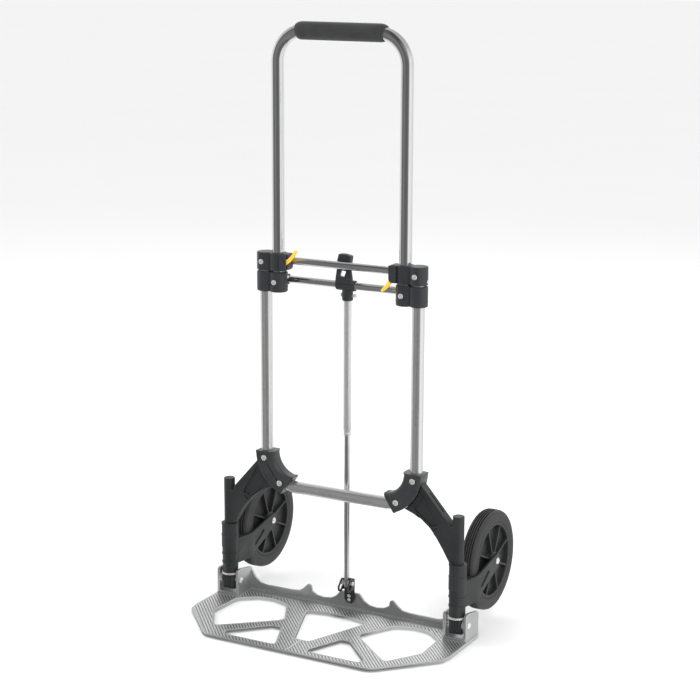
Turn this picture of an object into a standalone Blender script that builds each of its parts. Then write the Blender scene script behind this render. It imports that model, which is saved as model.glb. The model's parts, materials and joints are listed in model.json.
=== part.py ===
"""Folding two-wheel hand truck: sliding handle, fixed frame, folding toe plate and swinging wheels.

Axes: +X to the truck's own left as its toe plate faces the viewer, -Y to the front, +Z up.
The origin is on the floor under the centre of the tube frame. Lengths below are millimetres.
"""

import math

import bmesh
import bpy
from mathutils import Matrix, Vector

MM = 0.001
GAP = 0.3  # between touching pieces

# Overall sizes
HANDLE_HALF = 122.0  # centre of a handle tube from the middle
HANDLE_TOP = 1017.0  # centre line of the gripped bar
POST_HALF = 227.0  # wheel swing axis from the middle
FRAME_BAR_Z = 226.0  # centre line of the frame's lower bar
TOE_DEPTH = 192.0  # hinge line to the toe plate's front edge
WHEEL_R = 88.0

# Tubes and bars
TUBE_R = 11.0
TUBE_WALL = 1.5
TUBE_PITCH = 2 * TUBE_R + 3.0  # handle tube to frame tube
FRAME_HALF = HANDLE_HALF + TUBE_PITCH
HANDLE_BEND = 52.0
FRAME_BEND = 60.0
GRIP_WALL = 4.2
GRIP_R = TUBE_R + GRIP_WALL
BEND_STEPS = 6
BAR_R = 6.5

# Sliding blocks
LOBE_R = TUBE_R + 5.0
UPPER_BLOCK = (610.0, 641.0)
LOWER_BLOCK = (573.0, 608.0)
CAP_WALL = 5.0
UPPER_BAR_Z = UPPER_BLOCK[1] - 12.0
LOWER_BAR_Z = LOWER_BLOCK[0] + 19.0
LOWER_BAR_Y = TUBE_R + BAR_R + 2.5
BAR_BOSS_R = BAR_R + 2.8
LOWER_BAR_END = HANDLE_HALF + 1.0  # inside the lower block's boss
UPPER_SCREW_Z = UPPER_BLOCK[0] + 15.0
LOWER_SCREW_Z = LOWER_BLOCK[0] + 18.0
SCREW_R = 1.9
BLOCK_SCREW_HEAD = (4.6, 2.6)  # radius and height of a head
BRACKET_SCREW_HEAD = (5.2, 2.6)
FENCE_SCREW_HEAD = (3.2, 1.9)
CROSS_BOLT_R = 2.0
EAR_REACH = 23.5  # ear's inner face from the handle tube's centre
EAR_FRONT = TUBE_R + 6.0
SLOT_Y = (-EAR_FRONT + 2.5, -EAR_FRONT + 7.3)
LEVER_PIVOT = (HANDLE_HALF - EAR_REACH + 6.0, UPPER_BLOCK[1] - 17.0)
LEVER_LENGTH = 33.0
LEVER_OPEN, LEVER_SHUT = 40.0, -60.0  # degrees above level

# Centre tube, rod and latch
ROD_Y = LOWER_BAR_Y + 4.0
ROD_R = 5.0
CENTRE_TUBE_R = 7.0
CENTRE_TUBE_LOW = 327.0
ROD_DROP = 2 * ROD_Y  # how far the rod comes down as the toe plate folds
ROD_TOP = CENTRE_TUBE_LOW + ROD_DROP + 8.0
HUB_R = 9.5
HUB_LOW = LOWER_BAR_Z - 27.0
HUB_HALF = HUB_R + 0.2
HUB_BOLT_Z = HUB_LOW + 9.0
LATCH_HALF = 16.5
LATCH_TOP = UPPER_BLOCK[1] + 5.5

# Toe plate and its hinge
PLATE_T = 6.0
HINGE_Z = 33.0
HINGE_R = 4.0
LUG_HALF = 22.0  # outer faces of a pair of lugs from the post axis
LUG_T = 5.0
LUG_TOP = HINGE_Z + 21.0
LUG_Y = (-10.0, 40.0)
TOE_HALF = POST_HALF + LUG_HALF + 2.5
FENCE_Y = (LUG_Y[1] - 4.0, LUG_Y[1])
FENCE_LOW, FENCE_HIGH = PLATE_T + 11.0, PLATE_T + 30.0
PIN_R = 2.5
BRACKET_CHEEK = (ROD_R + 2.6, ROD_R + 5.1)  # inner and outer face of the toe bracket's cheeks
PIN_Z = HINGE_Z + ROD_Y  # the pin starts 45 degrees above the hinge line

# Posts, arms and brackets
POST_R = 10.0
POST_TOP = FRAME_BAR_Z - 2.0
ARM_HALF_T = 9.0
BRACKET_HALF_T = TUBE_R + 3.5
BRACKET_R = (FRAME_BEND - TUBE_R - 9.0, FRAME_BEND + TUBE_R + 4.0)
RECESS = 1.0

# Wheels and their swinging brackets
WHEEL_BACK = max(118.0, WHEEL_R + 27.0)  # post axis to axle
AXLE_Z = WHEEL_R + 24.0
TYRE_W = 28.0
TYRE_IN = WHEEL_R - 20.5
CHEEK_T = 4.0
CHEEK_IN = TYRE_W / 2 + 2.2
SLEEVE_R = 15.4
SLEEVE = (47.6, 140.0)
SLEEVE_RINGS = (  # bottom of a raised ring, its width, its growth, growth of the wall above it
    (65.0, 2.2, 0.0, -1.1), (81.0, 2.0, 0.2, -0.8), (94.5, 21.5, 0.1, 0.1), (116.8, 1.6, 0.6, -0.3),
    (137.0, 2.0, 0.4, 0.4))
WEB = (64.0, 110.0)
WEB_ROOT = 3.0  # where the web leaves the sleeve, behind the post axis
CHEEK_SUNK = 1.8
GEAR_Z = (44.0, SLEEVE[0] - GAP)
SECTOR_R = GEAR_Z[0] - HINGE_Z - 0.6
AXLE_R = 4.0
RIB_COUNT = 8

BLACK, DARK = (0.030, 0.032, 0.034), (0.020, 0.021, 0.022)
CHROME, NICKEL = (0.78, 0.78, 0.78), (0.62, 0.61, 0.59)
SILVER, YELLOW = (0.36, 0.37, 0.38), (0.90, 0.50, 0.03)


# ---------------------------------------------------------------- meshes

def new_object(name, bm):
    bmesh.ops.recalc_face_normals(bm, faces=bm.faces)
    mesh = bpy.data.meshes.new(name)
    bm.to_mesh(mesh)
    bm.free()
    obj = bpy.data.objects.new(name, mesh)
    bpy.context.scene.collection.objects.link(obj)
    return obj


def loft(rings, around=True):
    """One closed mesh through rings of points. around joins the last ring to the first."""
    bm = bmesh.new()
    made = [[bm.verts.new(Vector(p) * MM) for p in ring] for ring in rings]
    count = len(made[0])
    pairs = list(zip(made, made[1:]))
    if around:
        pairs.append((made[-1], made[0]))
    for low, high in pairs:
        for i in range(count):
            j = (i + 1) % count
            bm.faces.new((low[i], low[j], high[j], high[i]))
    if not around:
        bm.faces.new(list(reversed(made[0])))
        bm.faces.new(made[-1])
    return new_object("piece", bm)


def placed(axis, u, v, w):
    """A point from its two in-plane coordinates and its distance along the axis."""
    if axis == "X":
        return (w, u, v)
    if axis == "Y":
        return (u, w, v)
    return (u, v, w)


def turned(profile, centre, axis="Z", segments=18, ring=False):
    """A solid of revolution from (radius, height) points, or with ring, a closed loop of them."""
    rings = []
    for radius, height in profile:
        points = []
        for i in range(segments):
            a = 2 * math.pi * i / segments
            p = placed(axis, radius * math.cos(a), radius * math.sin(a), height)
            points.append([p[k] + centre[k] for k in range(3)])
        rings.append(points)
    return loft(rings, around=ring)


def rod(radius, low, high, centre, axis="Z", segments=18, edge=0.0):
    """A plain cylinder between two heights along its axis, with an optional chamfered rim."""
    if not edge:
        return turned([(radius, low), (radius, high)], centre, axis, segments)
    profile = [
        (radius - edge, low), (radius, low + edge), (radius, high - edge), (radius - edge, high),
    ]
    return turned(profile, centre, axis, segments)


def area(outline):
    return sum(a[0] * b[1] - b[0] * a[1] for a, b in zip(outline, outline[1:] + outline[:1])) / 2


def inset(outline, distance):
    """The outline moved inwards by the distance, corner by corner. It runs anticlockwise."""
    moved = []
    for i, here in enumerate(outline):
        before, after = outline[i - 1], outline[(i + 1) % len(outline)]
        normals = []
        for a, b in ((before, here), (here, after)):
            dx, dy = b[0] - a[0], b[1] - a[1]
            length = math.hypot(dx, dy)
            normals.append((-dy / length, dx / length))
        nx, ny = normals[0][0] + normals[1][0], normals[0][1] + normals[1][1]
        scale = distance * 2 / max(nx * nx + ny * ny, 0.4)
        moved.append((here[0] + nx * scale, here[1] + ny * scale))
    return moved


def prism(outline, low, high, axis="Z", edge=0.0):
    """The outline carried along the axis from low to high, with rims chamfered by edge."""
    if area(outline) < 0:
        outline = outline[::-1]
    levels = [(0.0, low), (0.0, high)]
    if edge:
        levels = [(edge, low), (0.0, low + edge), (0.0, high - edge), (edge, high)]
    rings = []
    for depth, height in levels:
        ring = inset(outline, depth) if depth else outline
        rings.append([placed(axis, u, v, height) for u, v in ring])
    return loft(rings, around=False)


def box(low, high):
    outline = [(low[0], low[1]), (high[0], low[1]), (high[0], high[1]), (low[0], high[1])]
    return prism(outline, low[2], high[2])


def filleted(points, radius, steps=4):
    """The polygon with each corner rounded. radius is one number or one per corner."""
    radii = radius if isinstance(radius, (list, tuple)) else [radius] * len(points)
    outline = []
    for i, corner in enumerate(points):
        here = Vector(corner)
        to_before = (Vector(points[i - 1]) - here)
        to_after = (Vector(points[(i + 1) % len(points)]) - here)
        limit = 0.49 * min(to_before.length, to_after.length)
        u, v = to_before.normalized(), to_after.normalized()
        half = u.angle(v) / 2
        if radii[i] <= 0 or half > 1.55:
            outline.append(tuple(here))
            continue
        back = min(radii[i] / math.tan(half), limit)
        r = back * math.tan(half)
        centre = here + (u + v).normalized() * (r / math.sin(half))
        start, end = here + u * back - centre, here + v * back - centre
        turn = start.angle_signed(end)
        for k in range(steps + 1):
            a = -turn * k / steps
            outline.append((
                centre.x + start.x * math.cos(a) - start.y * math.sin(a),
                centre.y + start.x * math.sin(a) + start.y * math.cos(a),
            ))
    return outline


def arc(centre, radius, start, end, steps):
    """Points on a circle from one angle to another, in degrees."""
    points = []
    for i in range(steps + 1):
        a = math.radians(start + (end - start) * i / steps)
        points.append((centre[0] + radius * math.cos(a), centre[1] + radius * math.sin(a)))
    return points


def sweep(path, radius, inner=0.0, segments=16, trim=0):
    """A round bar or, with inner, a tube along a path of (x, z) points in the plane of the frame.

    trim leaves out that many points at each end, and the rest follows the whole path's direction.
    """
    def section(size):
        rings = []
        for i, (x, z) in enumerate(path):
            before, after = path[max(i - 1, 0)], path[min(i + 1, len(path) - 1)]
            along = Vector((after[0] - before[0], after[1] - before[1])).normalized()
            side = Vector((along.y, -along.x))
            ring = []
            for k in range(segments):
                a = 2 * math.pi * k / segments
                across = size * math.cos(a)
                ring.append((x + side.x * across, size * math.sin(a), z + side.y * across))
            rings.append(ring)
        return rings[trim:len(rings) - trim]
    outer = section(radius)
    if not inner:
        return loft(outer, around=False)
    return loft(outer + section(inner)[::-1])


def u_path(half, open_z, bar_z, bend, steps=BEND_STEPS):
    """Two legs and a crossing bar as (x, z) points, with a round bend at each corner."""
    way = 1 if open_z > bar_z else -1
    corner = []
    for i in range(steps + 1):
        a = math.pi / 2 * i / steps
        corner.append((half - bend + bend * math.cos(a), bar_z + way * bend * (1 - math.sin(a))))
    right = [(half, open_z)] + corner
    return [(-x, z) for x, z in right] + right[::-1]


# ---------------------------------------------------------------- booleans and finish

def boolean(obj, others, operation):
    """obj after an exact Boolean with each of the others, which are then removed."""
    for other in others:
        modifier = obj.modifiers.new("boolean", "BOOLEAN")
        modifier.operation = operation
        modifier.solver = "EXACT"
        modifier.object = other
        graph = bpy.context.evaluated_depsgraph_get()
        mesh = bpy.data.meshes.new_from_object(obj.evaluated_get(graph))
        obj.modifiers.clear()
        obj.data = mesh
        bpy.data.objects.remove(other)
    return obj


def cut(obj, *cutters):
    return boolean(obj, cutters, "DIFFERENCE")


def join(obj, *pieces):
    return boolean(obj, pieces, "UNION")


def together(objects):
    """Separate pieces held as one mesh, to be used as one cutter."""
    bm = bmesh.new()
    for obj in objects:
        bm.from_mesh(obj.data)
        bpy.data.objects.remove(obj)
    return new_object("cutters", bm)


def turn_about(obj, angle, axis, point):
    centre = Vector(point) * MM
    obj.data.transform(
        Matrix.Translation(centre) @ Matrix.Rotation(math.radians(angle), 4, axis)
        @ Matrix.Translation(-centre)
    )
    return obj


def mirrored(obj):
    obj.data.transform(Matrix.Scale(-1, 4, (1, 0, 0)))
    obj.data.flip_normals()
    return obj


def finish(obj, name, colour, metallic=0.0, roughness=0.5, origin=(0, 0, 0)):
    """Names the object, gives it its own material and puts its origin where it turns or slides."""
    obj.name = obj.data.name = name
    point = Vector(origin) * MM
    obj.data.transform(Matrix.Translation(-point))
    obj.location = point
    material = bpy.data.materials.new(name)
    material.use_nodes = True
    shader = material.node_tree.nodes["Principled BSDF"]
    shader.inputs["Base Color"].default_value = (*colour, 1.0)
    shader.inputs["Metallic"].default_value = metallic
    shader.inputs["Roughness"].default_value = roughness
    obj.data.materials.clear()
    obj.data.materials.append(material)
    for face in obj.data.polygons:
        face.use_smooth = False
    return obj


def pair(build, name, colour, metallic=0.0, roughness=0.5, origin=(0, 0, 0)):
    """The right piece as built and the left one as its mirror image."""
    finish(build(), name + "_right", colour, metallic, roughness, origin)
    opposite = (-origin[0], origin[1], origin[2])
    finish(mirrored(build()), name + "_left", colour, metallic, roughness, opposite)


# ---------------------------------------------------------------- small hardware

def domed_screw(centre, axis, way, head_r, head_h, shank_r, shank, slot=False, cross=False):
    """A round head from 0 to head_h in the direction way, with its shank behind it."""
    profile = [
        (shank_r, -shank), (shank_r, 0.0), (head_r, 0.0), (head_r, head_h * 0.4),
        (head_r * 0.75, head_h * 0.85), (head_r * 0.35, head_h),
    ]
    screw = turned([(r, h * way) for r, h in profile], centre, axis, 14)
    half_w, long, floor = head_r * 0.13, head_r * 1.2, head_h * 0.45
    cutters = []
    if slot or cross:
        reach = long if slot else head_r * 0.62
        angles = (35.0,) if slot else (20.0, 110.0)
        for angle in angles:
            c, s = math.cos(math.radians(angle)), math.sin(math.radians(angle))
            corners = [(-reach, -half_w), (reach, -half_w), (reach, half_w), (-reach, half_w)]
            spun = [(u * c - v * s, u * s + v * c) for u, v in corners]
            low, high = sorted((floor * way, (head_h + 1) * way))
            cutter = prism(spun, low, high, axis)
            cutter.data.transform(Matrix.Translation(Vector(centre) * MM))
            cutters.append(cutter)
    return cut(screw, *cutters) if cutters else screw


# ---------------------------------------------------------------- frame

def frame_tube():
    path = u_path(FRAME_HALF, UPPER_BLOCK[1] - CAP_WALL - GAP, FRAME_BAR_Z, FRAME_BEND)
    return sweep(path, TUBE_R, TUBE_R - TUBE_WALL)


def eight():
    """Plan of a block: two round lobes about the handle tube and the frame tube."""
    open_angle = math.degrees(math.acos(TUBE_PITCH / 2 / LOBE_R))
    outer = arc((FRAME_HALF, 0), LOBE_R, open_angle - 180, 180 - open_angle, 11)
    inner = arc((HANDLE_HALF, 0), LOBE_R, open_angle, 360 - open_angle, 11)
    return outer + inner[1:-1]


def bore(x, low, high):
    return rod(TUBE_R + GAP, low, high, (x, 0, 0), segments=16)


def upper_block():
    low, high = UPPER_BLOCK
    inner = HANDLE_HALF - EAR_REACH
    ear_outline = filleted(
        [(HANDLE_HALF - 10, low + 1.5), (HANDLE_HALF - 10, high - 0.4),
         (inner, high - 0.4), (inner, low + 1.5)], [0, 0, 1.5, 8.0])
    ear = prism(ear_outline, -EAR_FRONT, BAR_R + 3.0, "Y", edge=0.8)
    block = join(prism(eight(), low, high, edge=1.2), ear)
    bar_end = HANDLE_HALF - LOBE_R + GAP
    pivot = (LEVER_PIVOT[0], 0, LEVER_PIVOT[1])
    return cut(
        block,
        bore(HANDLE_HALF, low - 5, high + 5),
        bore(FRAME_HALF, low - 5, high - CAP_WALL),
        rod(BAR_R + GAP, inner - 5, bar_end, (0, 0, UPPER_BAR_Z), "X", 16),
        box((inner - 5, SLOT_Y[0], low - 5), (LEVER_PIVOT[0] + 5.5, SLOT_Y[1], high + 5)),
        rod(2.0 + GAP, -EAR_FRONT - 5, SLOT_Y[1] + 1.7, pivot, "Y", 10),
        screw_hole((FRAME_HALF, -LOBE_R, UPPER_SCREW_Z)),
    )


def screw_hole(point):
    """A hole through the front wall for a block screw."""
    return rod(SCREW_R + GAP, -3.0, 4.4, point, "Y", 10)


def block_screw(x, z):
    return domed_screw((x, -LOBE_R - GAP, z), "Y", -1, *BLOCK_SCREW_HEAD, SCREW_R, 3.8, slot=True)


def upper_bar():
    half = HANDLE_HALF - LOBE_R
    return rod(BAR_R, -half, half, (0, 0, UPPER_BAR_Z), "X", 16, edge=0.6)


def bend_centre():
    return (FRAME_HALF - FRAME_BEND, FRAME_BAR_Z + FRAME_BEND)


def corner_bracket():
    low, high = BRACKET_R
    centre = bend_centre()
    outline = arc(centre, high, -71, 1, 10) + arc(centre, low, 3, -86, 9)
    bracket = prism(outline, -BRACKET_HALF_T, BRACKET_HALF_T, "Y", edge=1.2)
    recess = arc(centre, high - 4, -67, -3, 9) + arc(centre, low + 4, -3, -80, 8)
    front, back = -BRACKET_HALF_T, BRACKET_HALF_T
    path = u_path(FRAME_HALF, POST_TOP + 200, FRAME_BAR_Z, FRAME_BEND)
    tube_way = sweep(path[len(path) // 2:] , TUBE_R + GAP)
    holes = [rod(SCREW_R + GAP, -3.0, 4.0, p, "Y", 10) for p in bracket_screw_points()]
    return cut(
        bracket, tube_way,
        prism(recess, front - 3, front + RECESS, "Y"),
        prism(recess, back - RECESS, back + 3, "Y"),
        *holes,
    )


def bracket_screw_points():
    """Where the two bracket screws enter, on the tube's centre line."""
    points = []
    for angle in (-10.5, -62.5):
        x, z = arc(bend_centre(), FRAME_BEND, angle, angle + 1, 1)[0]
        points.append((x, -BRACKET_HALF_T + RECESS, z))
    return points


def bracket_screw(index):
    x, y, z = bracket_screw_points()[index]
    return domed_screw((x, y - GAP, z), "Y", -1, *BRACKET_SCREW_HEAD, SCREW_R, 2.2, cross=True)


def arm_outline():
    """Front view of the arm, from the corner bracket's outer curve out to the post."""
    centre, near = bend_centre(), BRACKET_R[1] + GAP
    root = arc(centre, near, -56, -12, 8)
    post_in = POST_HALF - POST_R
    top = [(post_in - 4, POST_TOP - 13), (post_in - 2, POST_TOP - 20), (POST_HALF, POST_TOP - 20)]
    foot = [(POST_HALF, SLEEVE[1] + 2.0), (post_in - 3, SLEEVE[1] + 2.0)]
    start = root[0]
    end = foot[-1]
    belly = []
    for i in range(1, 6):
        t = i / 6
        rise = 15.0 * math.sin(math.pi * t)
        x, z = end[0] + (start[0] - end[0]) * t, end[1] + (start[1] - end[1]) * t
        belly.append((x - rise * 0.1 + rise * 0.35, z + rise))
    return root + top + foot + belly


def shrunk_panel(depth):
    """The sunk panel in an arm's face."""
    centre, near = bend_centre(), BRACKET_R[1]
    root = arc(centre, near + 9, -45, -22, 4)
    return root + [(POST_HALF - 37, POST_TOP - 14), (POST_HALF - 33, POST_TOP - 22),
                   (POST_HALF - 50, POST_TOP - 22 - depth)]


def side_arm():
    arm = prism(arm_outline(), -ARM_HALF_T, ARM_HALF_T, "Y", edge=1.0)
    post = rod(POST_R, HINGE_Z + 6, POST_TOP, (POST_HALF, 0, 0), edge=0.8)
    foot_outline = filleted(
        [(-9, HINGE_Z - 18), (9, HINGE_Z - 18), (9, GEAR_Z[0] - 0.6), (-9, GEAR_Z[0] - 0.6)],
        [7, 7, 0, 0])
    foot = prism(foot_outline, POST_HALF - 11, POST_HALF + 11, "X", edge=0.8)
    arm = join(post, arm, foot)
    panel = shrunk_panel(22.0)
    start = arc(bend_centre(), BRACKET_R[1] + 12, -13, -12, 1)[0]
    end = (POST_HALF - 30, POST_TOP - 2)
    slope = math.degrees(math.atan2(end[1] - start[1], end[0] - start[0]))
    length = math.hypot(end[0] - start[0], end[1] - start[1])
    slot = box((start[0] + length * 0.18, -1.6, start[1] - 5), (start[0] + length * 0.95, 1.6, start[1] + 12))
    turn_about(slot, -slope, "Y", (start[0], 0, start[1]))
    grooves = []
    for x in (-5.0, 0.0, 5.0):
        low, high = (POST_HALF + x - 1.0, -10.4, HINGE_Z - 12), (POST_HALF + x + 1.0, -7.6, HINGE_Z + 7.6)
        grooves.append(box(low, high))
    return cut(
        arm,
        prism(panel, -ARM_HALF_T - 3, -ARM_HALF_T + 2.2, "Y"),
        prism(panel, ARM_HALF_T - 2.2, ARM_HALF_T + 3, "Y"),
        slot, together(grooves),
        rod(HINGE_R + GAP, POST_HALF - 30, POST_HALF + 30, (0, 0, HINGE_Z), "X", 16),
    )


def hinge_bolt():
    """The bolt through both lugs and the post's foot, with a round head at each end."""
    end, shoulder = LUG_HALF + GAP, HINGE_R + 1.8
    profile = [
        (2.4, -end - 2.8), (shoulder - 0.7, -end - 2.0), (shoulder, -end), (HINGE_R, -end),
        (HINGE_R, end), (shoulder, end), (shoulder - 0.7, end + 2.0), (2.4, end + 2.8),
    ]
    return turned(profile, (POST_HALF, 0, HINGE_Z), "X", 14)


# ---------------------------------------------------------------- handle

def handle_path():
    return u_path(HANDLE_HALF, LOWER_BLOCK[0] + CAP_WALL + GAP, HANDLE_TOP, HANDLE_BEND)


def handle_tube():
    return sweep(handle_path(), TUBE_R, TUBE_R - TUBE_WALL)


def grip():
    """A foam sleeve along the top bar and one step into each bend, on the tube's own path."""
    return sweep(handle_path(), GRIP_R, TUBE_R + GAP, trim=BEND_STEPS)


def lower_block():
    low, high = LOWER_BLOCK
    bar_line = (0, LOWER_BAR_Y, LOWER_BAR_Z)
    boss = rod(BAR_BOSS_R, HANDLE_HALF - 9, HANDLE_HALF + 5, bar_line, "X", 16, edge=1.0)
    block = join(prism(eight(), low, high, edge=1.6), boss)
    return cut(
        block,
        bore(HANDLE_HALF, low + CAP_WALL, high + 5),
        bore(FRAME_HALF, low - 5, high + 5),
        rod(BAR_R + GAP, HANDLE_HALF - 35, LOWER_BAR_END + GAP, bar_line, "X", 16),
        screw_hole((HANDLE_HALF, -LOBE_R, LOWER_SCREW_Z)),
    )


def lower_bar():
    return rod(BAR_R, -LOWER_BAR_END, LOWER_BAR_END, (0, LOWER_BAR_Y, LOWER_BAR_Z), "X", 16, edge=0.6)


def centre_hub():
    """Hangs on the lower crossbar and holds the top of the centre tube."""
    hub = join(
        rod(HUB_R, HUB_LOW, LOWER_BAR_Z, (0, ROD_Y, 0), segments=16, edge=1.0),
        rod(BAR_BOSS_R, -HUB_HALF, HUB_HALF, (0, LOWER_BAR_Y, LOWER_BAR_Z), "X", 16),
    )
    return cut(
        hub,
        rod(BAR_R + GAP, -20, 20, (0, LOWER_BAR_Y, LOWER_BAR_Z), "X", 16),
        rod(CENTRE_TUBE_R + GAP, HUB_LOW - 5, LOWER_BAR_Z - BAR_R - 2.5, (0, ROD_Y, 0), segments=16),
        rod(CROSS_BOLT_R + GAP, -20, 20, (0, ROD_Y, HUB_BOLT_Z), "X", 10),
    )


def centre_tube():
    top, inner = LOWER_BAR_Z - BAR_R - 2.8, CENTRE_TUBE_R - 1.2
    low, neck = CENTRE_TUBE_LOW, ROD_R + 0.4
    profile = [
        (CENTRE_TUBE_R - 1.0, low), (CENTRE_TUBE_R - 0.3, low + 1), (CENTRE_TUBE_R - 0.3, low + 4),
        (CENTRE_TUBE_R - 0.9, low + 5), (CENTRE_TUBE_R - 0.9, low + 8), (CENTRE_TUBE_R, low + 10),
        (CENTRE_TUBE_R, top), (inner, top), (inner, low + 12), (neck, low + 9), (neck, low),
    ]
    tube = turned(profile, (0, ROD_Y, 0), segments=16, ring=True)
    return cut(tube, rod(CROSS_BOLT_R + GAP, -20, 20, (0, ROD_Y, HUB_BOLT_Z), "X", 10))


def hub_bolt():
    end = HUB_R + GAP
    profile = [
        (2.2, -end - 3.2), (3.6, -end - 2.2), (3.6, -end), (CROSS_BOLT_R, -end),
        (CROSS_BOLT_R, end), (3.8, end), (3.8, end + 3.0), (2.0, end + 3.0), (1.7, end + 6.0),
    ]
    return turned(profile, (0, ROD_Y, HUB_BOLT_Z), "X", 12)


# ---------------------------------------------------------------- latch and levers

def latch():
    """Thumb catch on the lower crossbar, standing behind the upper one."""
    base = LOWER_BAR_Z + 4.0
    body = prism(
        filleted([(-LATCH_HALF, base), (LATCH_HALF, base), (LATCH_HALF - 1, base + 9),
                  (11.0, UPPER_BAR_Z + 5), (-11.0, UPPER_BAR_Z + 5), (-LATCH_HALF + 1, base + 9)], 1.5, 2),
        BAR_R + 2.2, BAR_R + 8.5, "Y", edge=0.8)
    pad = prism(
        filleted([(-13.5, LATCH_TOP - 16), (12.5, LATCH_TOP - 16), (14.5, LATCH_TOP - 2),
                  (2.0, LATCH_TOP + 0.5), (-9.5, LATCH_TOP)], 2.0, 2),
        BAR_R + 1.2, BAR_R + 13.0, "Y", edge=1.6)
    collars = [
        rod(BAR_BOSS_R, *span, (0, LOWER_BAR_Y, LOWER_BAR_Z), "X", 16, edge=0.6)
        for span in ((HUB_HALF - 1, LATCH_HALF + 1), (-LATCH_HALF - 1, -HUB_HALF + 1))
    ]
    whole = join(body, pad, *collars)
    window = [(-8.5, base + 13), (1.0, base + 11), (5.5, base + 22), (-5.0, base + 23)]
    return cut(
        whole,
        rod(BAR_R + GAP, -30, 30, (0, LOWER_BAR_Y, LOWER_BAR_Z), "X", 16),
        rod(BAR_BOSS_R + 0.4, -HUB_HALF - GAP, HUB_HALF + GAP, (0, LOWER_BAR_Y, LOWER_BAR_Z), "X", 16),
        prism(filleted(window, 1.0, 2), -5, 40, "Y"),
        rod(1.8, -5, 40, (8.5, 0, base + 9), "Y", 10),
    )


def strap(line, widths):
    """Outline of a flat lever along a bent line, with a half-round end at each end."""
    left, right = [], []
    for i, (x, y) in enumerate(line):
        before, after = line[max(i - 1, 0)], line[min(i + 1, len(line) - 1)]
        d = Vector((after[0] - before[0], after[1] - before[1])).normalized()
        left.append((x - d.y * widths[i], y + d.x * widths[i]))
        right.append((x + d.y * widths[i], y - d.x * widths[i]))
    tail = Vector((line[1][0] - line[0][0], line[1][1] - line[0][1]))
    tip = Vector((line[-1][0] - line[-2][0], line[-1][1] - line[-2][1]))
    back = math.degrees(math.atan2(tail.y, tail.x))
    ahead = math.degrees(math.atan2(tip.y, tip.x))
    end = arc(line[-1], widths[-1], ahead - 90, ahead + 90, 5)
    start = arc(line[0], widths[0], back + 90, back + 270, 7)
    return start[:-1] + right[1:-1] + end + left[-2:0:-1]


def lever(angle):
    """The right lever, at an angle above level, pointing to the middle."""
    x, z = LEVER_PIVOT
    reach = LEVER_LENGTH
    line = [(0, 0), (0.38 * reach, -1.8), (0.7 * reach, -0.6), (reach, 2.6)]
    outline = [(x - u, z + v) for u, v in strap(line, [4.8, 3.3, 3.2, 2.4])]
    blade = prism(outline, SLOT_Y[0] + GAP, SLOT_Y[1] - GAP, "Y", edge=0.7)
    pin = rod(2.0, -EAR_FRONT + 0.2, SLOT_Y[1] + 1.4, (x, 0, z), "Y", 10)
    return turn_about(join(blade, pin), angle, "Y", (x, 0, z))


# ---------------------------------------------------------------- centre rod

def centre_rod():
    bar = rod(ROD_R, PIN_Z - 7.0, ROD_TOP, (0, ROD_Y, 0), segments=18, edge=0.8)
    return cut(bar, rod(PIN_R + GAP, -20, 20, (0, ROD_Y, PIN_Z), "X", 14))


def rod_pin():
    end = BRACKET_CHEEK[1] + 0.5
    profile = [
        (1.8, -end - 1.8), (3.4, -end - 1.2), (3.4, -end), (PIN_R, -end),
        (PIN_R, end), (4.0, end), (4.0, end + 1.6), (2.2, end + 3.2),
    ]
    return turned(profile, (0, ROD_Y, PIN_Z), "X", 14)



def toe_bracket():
    """Forked bracket on the fence. Its slots let the rod's pin work in and out as the plate turns."""
    half = BRACKET_CHEEK[1]
    front = FENCE_Y[0] - GAP
    base = prism(
        filleted([(-half, PLATE_T + 18), (-5, PLATE_T + 10.5), (5, PLATE_T + 10.5), (half, PLATE_T + 18),
                  (half, PIN_Z + 6), (-half, PIN_Z + 6)], [2, 3, 3, 2, 1, 1], 3),
        front - 2.4, front, "Y", edge=0.4)
    slip = slot_slip()
    reach = slip + 3.0
    near = ROD_Y / math.sqrt(2)
    nose = arc((near, HINGE_Z + near), reach, 135, 315, 8)
    crown = arc((ROD_Y, PIN_Z), reach, 45, 135, 4)
    side = [(front - 0.8, HINGE_Z + near - reach), (front - 0.8, PIN_Z + 4)] + crown + nose[1:]
    cheeks = [
        prism(side, *span, "X") for span in
        ((BRACKET_CHEEK[0], half - 0.02), (-half + 0.02, -BRACKET_CHEEK[0]))
    ]
    slot = (arc((near, HINGE_Z + near), slip, 135, 315, 8)
            + arc((ROD_Y, PIN_Z), slip, -45, 135, 8))
    return cut(
        join(base, *cheeks),
        prism(slot, -30, 30, "X"),
        *[rod(SCREW_R + GAP, -6, 6, (0, front, z), "Y", 10) for z in fence_screw_heights()],
    )


def slot_slip():
    """Half width of the slot: the pin's radius and how far it strays from a straight line."""
    worst = 0.0
    for i in range(91):
        turn = math.radians(i)
        pin = ROD_Y * (1 - i / 45.0)
        worst = max(worst, abs((pin - ROD_Y * math.tan(math.pi / 4 - turn)) * math.cos(math.pi / 4 - turn)))
    return PIN_R + worst + 0.4


def fence_screw_heights():
    return (PLATE_T + 16.5, PLATE_T + 24.0)


def fence_screw(index):
    z = fence_screw_heights()[index]
    return domed_screw((0, FENCE_Y[0] - 2.7 - GAP, z), "Y", -1, *FENCE_SCREW_HEAD, SCREW_R, 6.0, cross=True)


# ---------------------------------------------------------------- toe plate

def plate_outline():
    """Plan of the toe plate with its cut-off front corners."""
    front, side, back = -TOE_DEPTH, TOE_HALF, LUG_Y[1]
    nose = side * 0.635
    half = [(nose, front), (side - 3, front + 94), (side, front + 118), (side, back)]
    corners = half + [(-x, y) for x, y in half[::-1]]
    return filleted(corners, [26, 22, 30, 8, 8, 30, 22, 26], 3)


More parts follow.
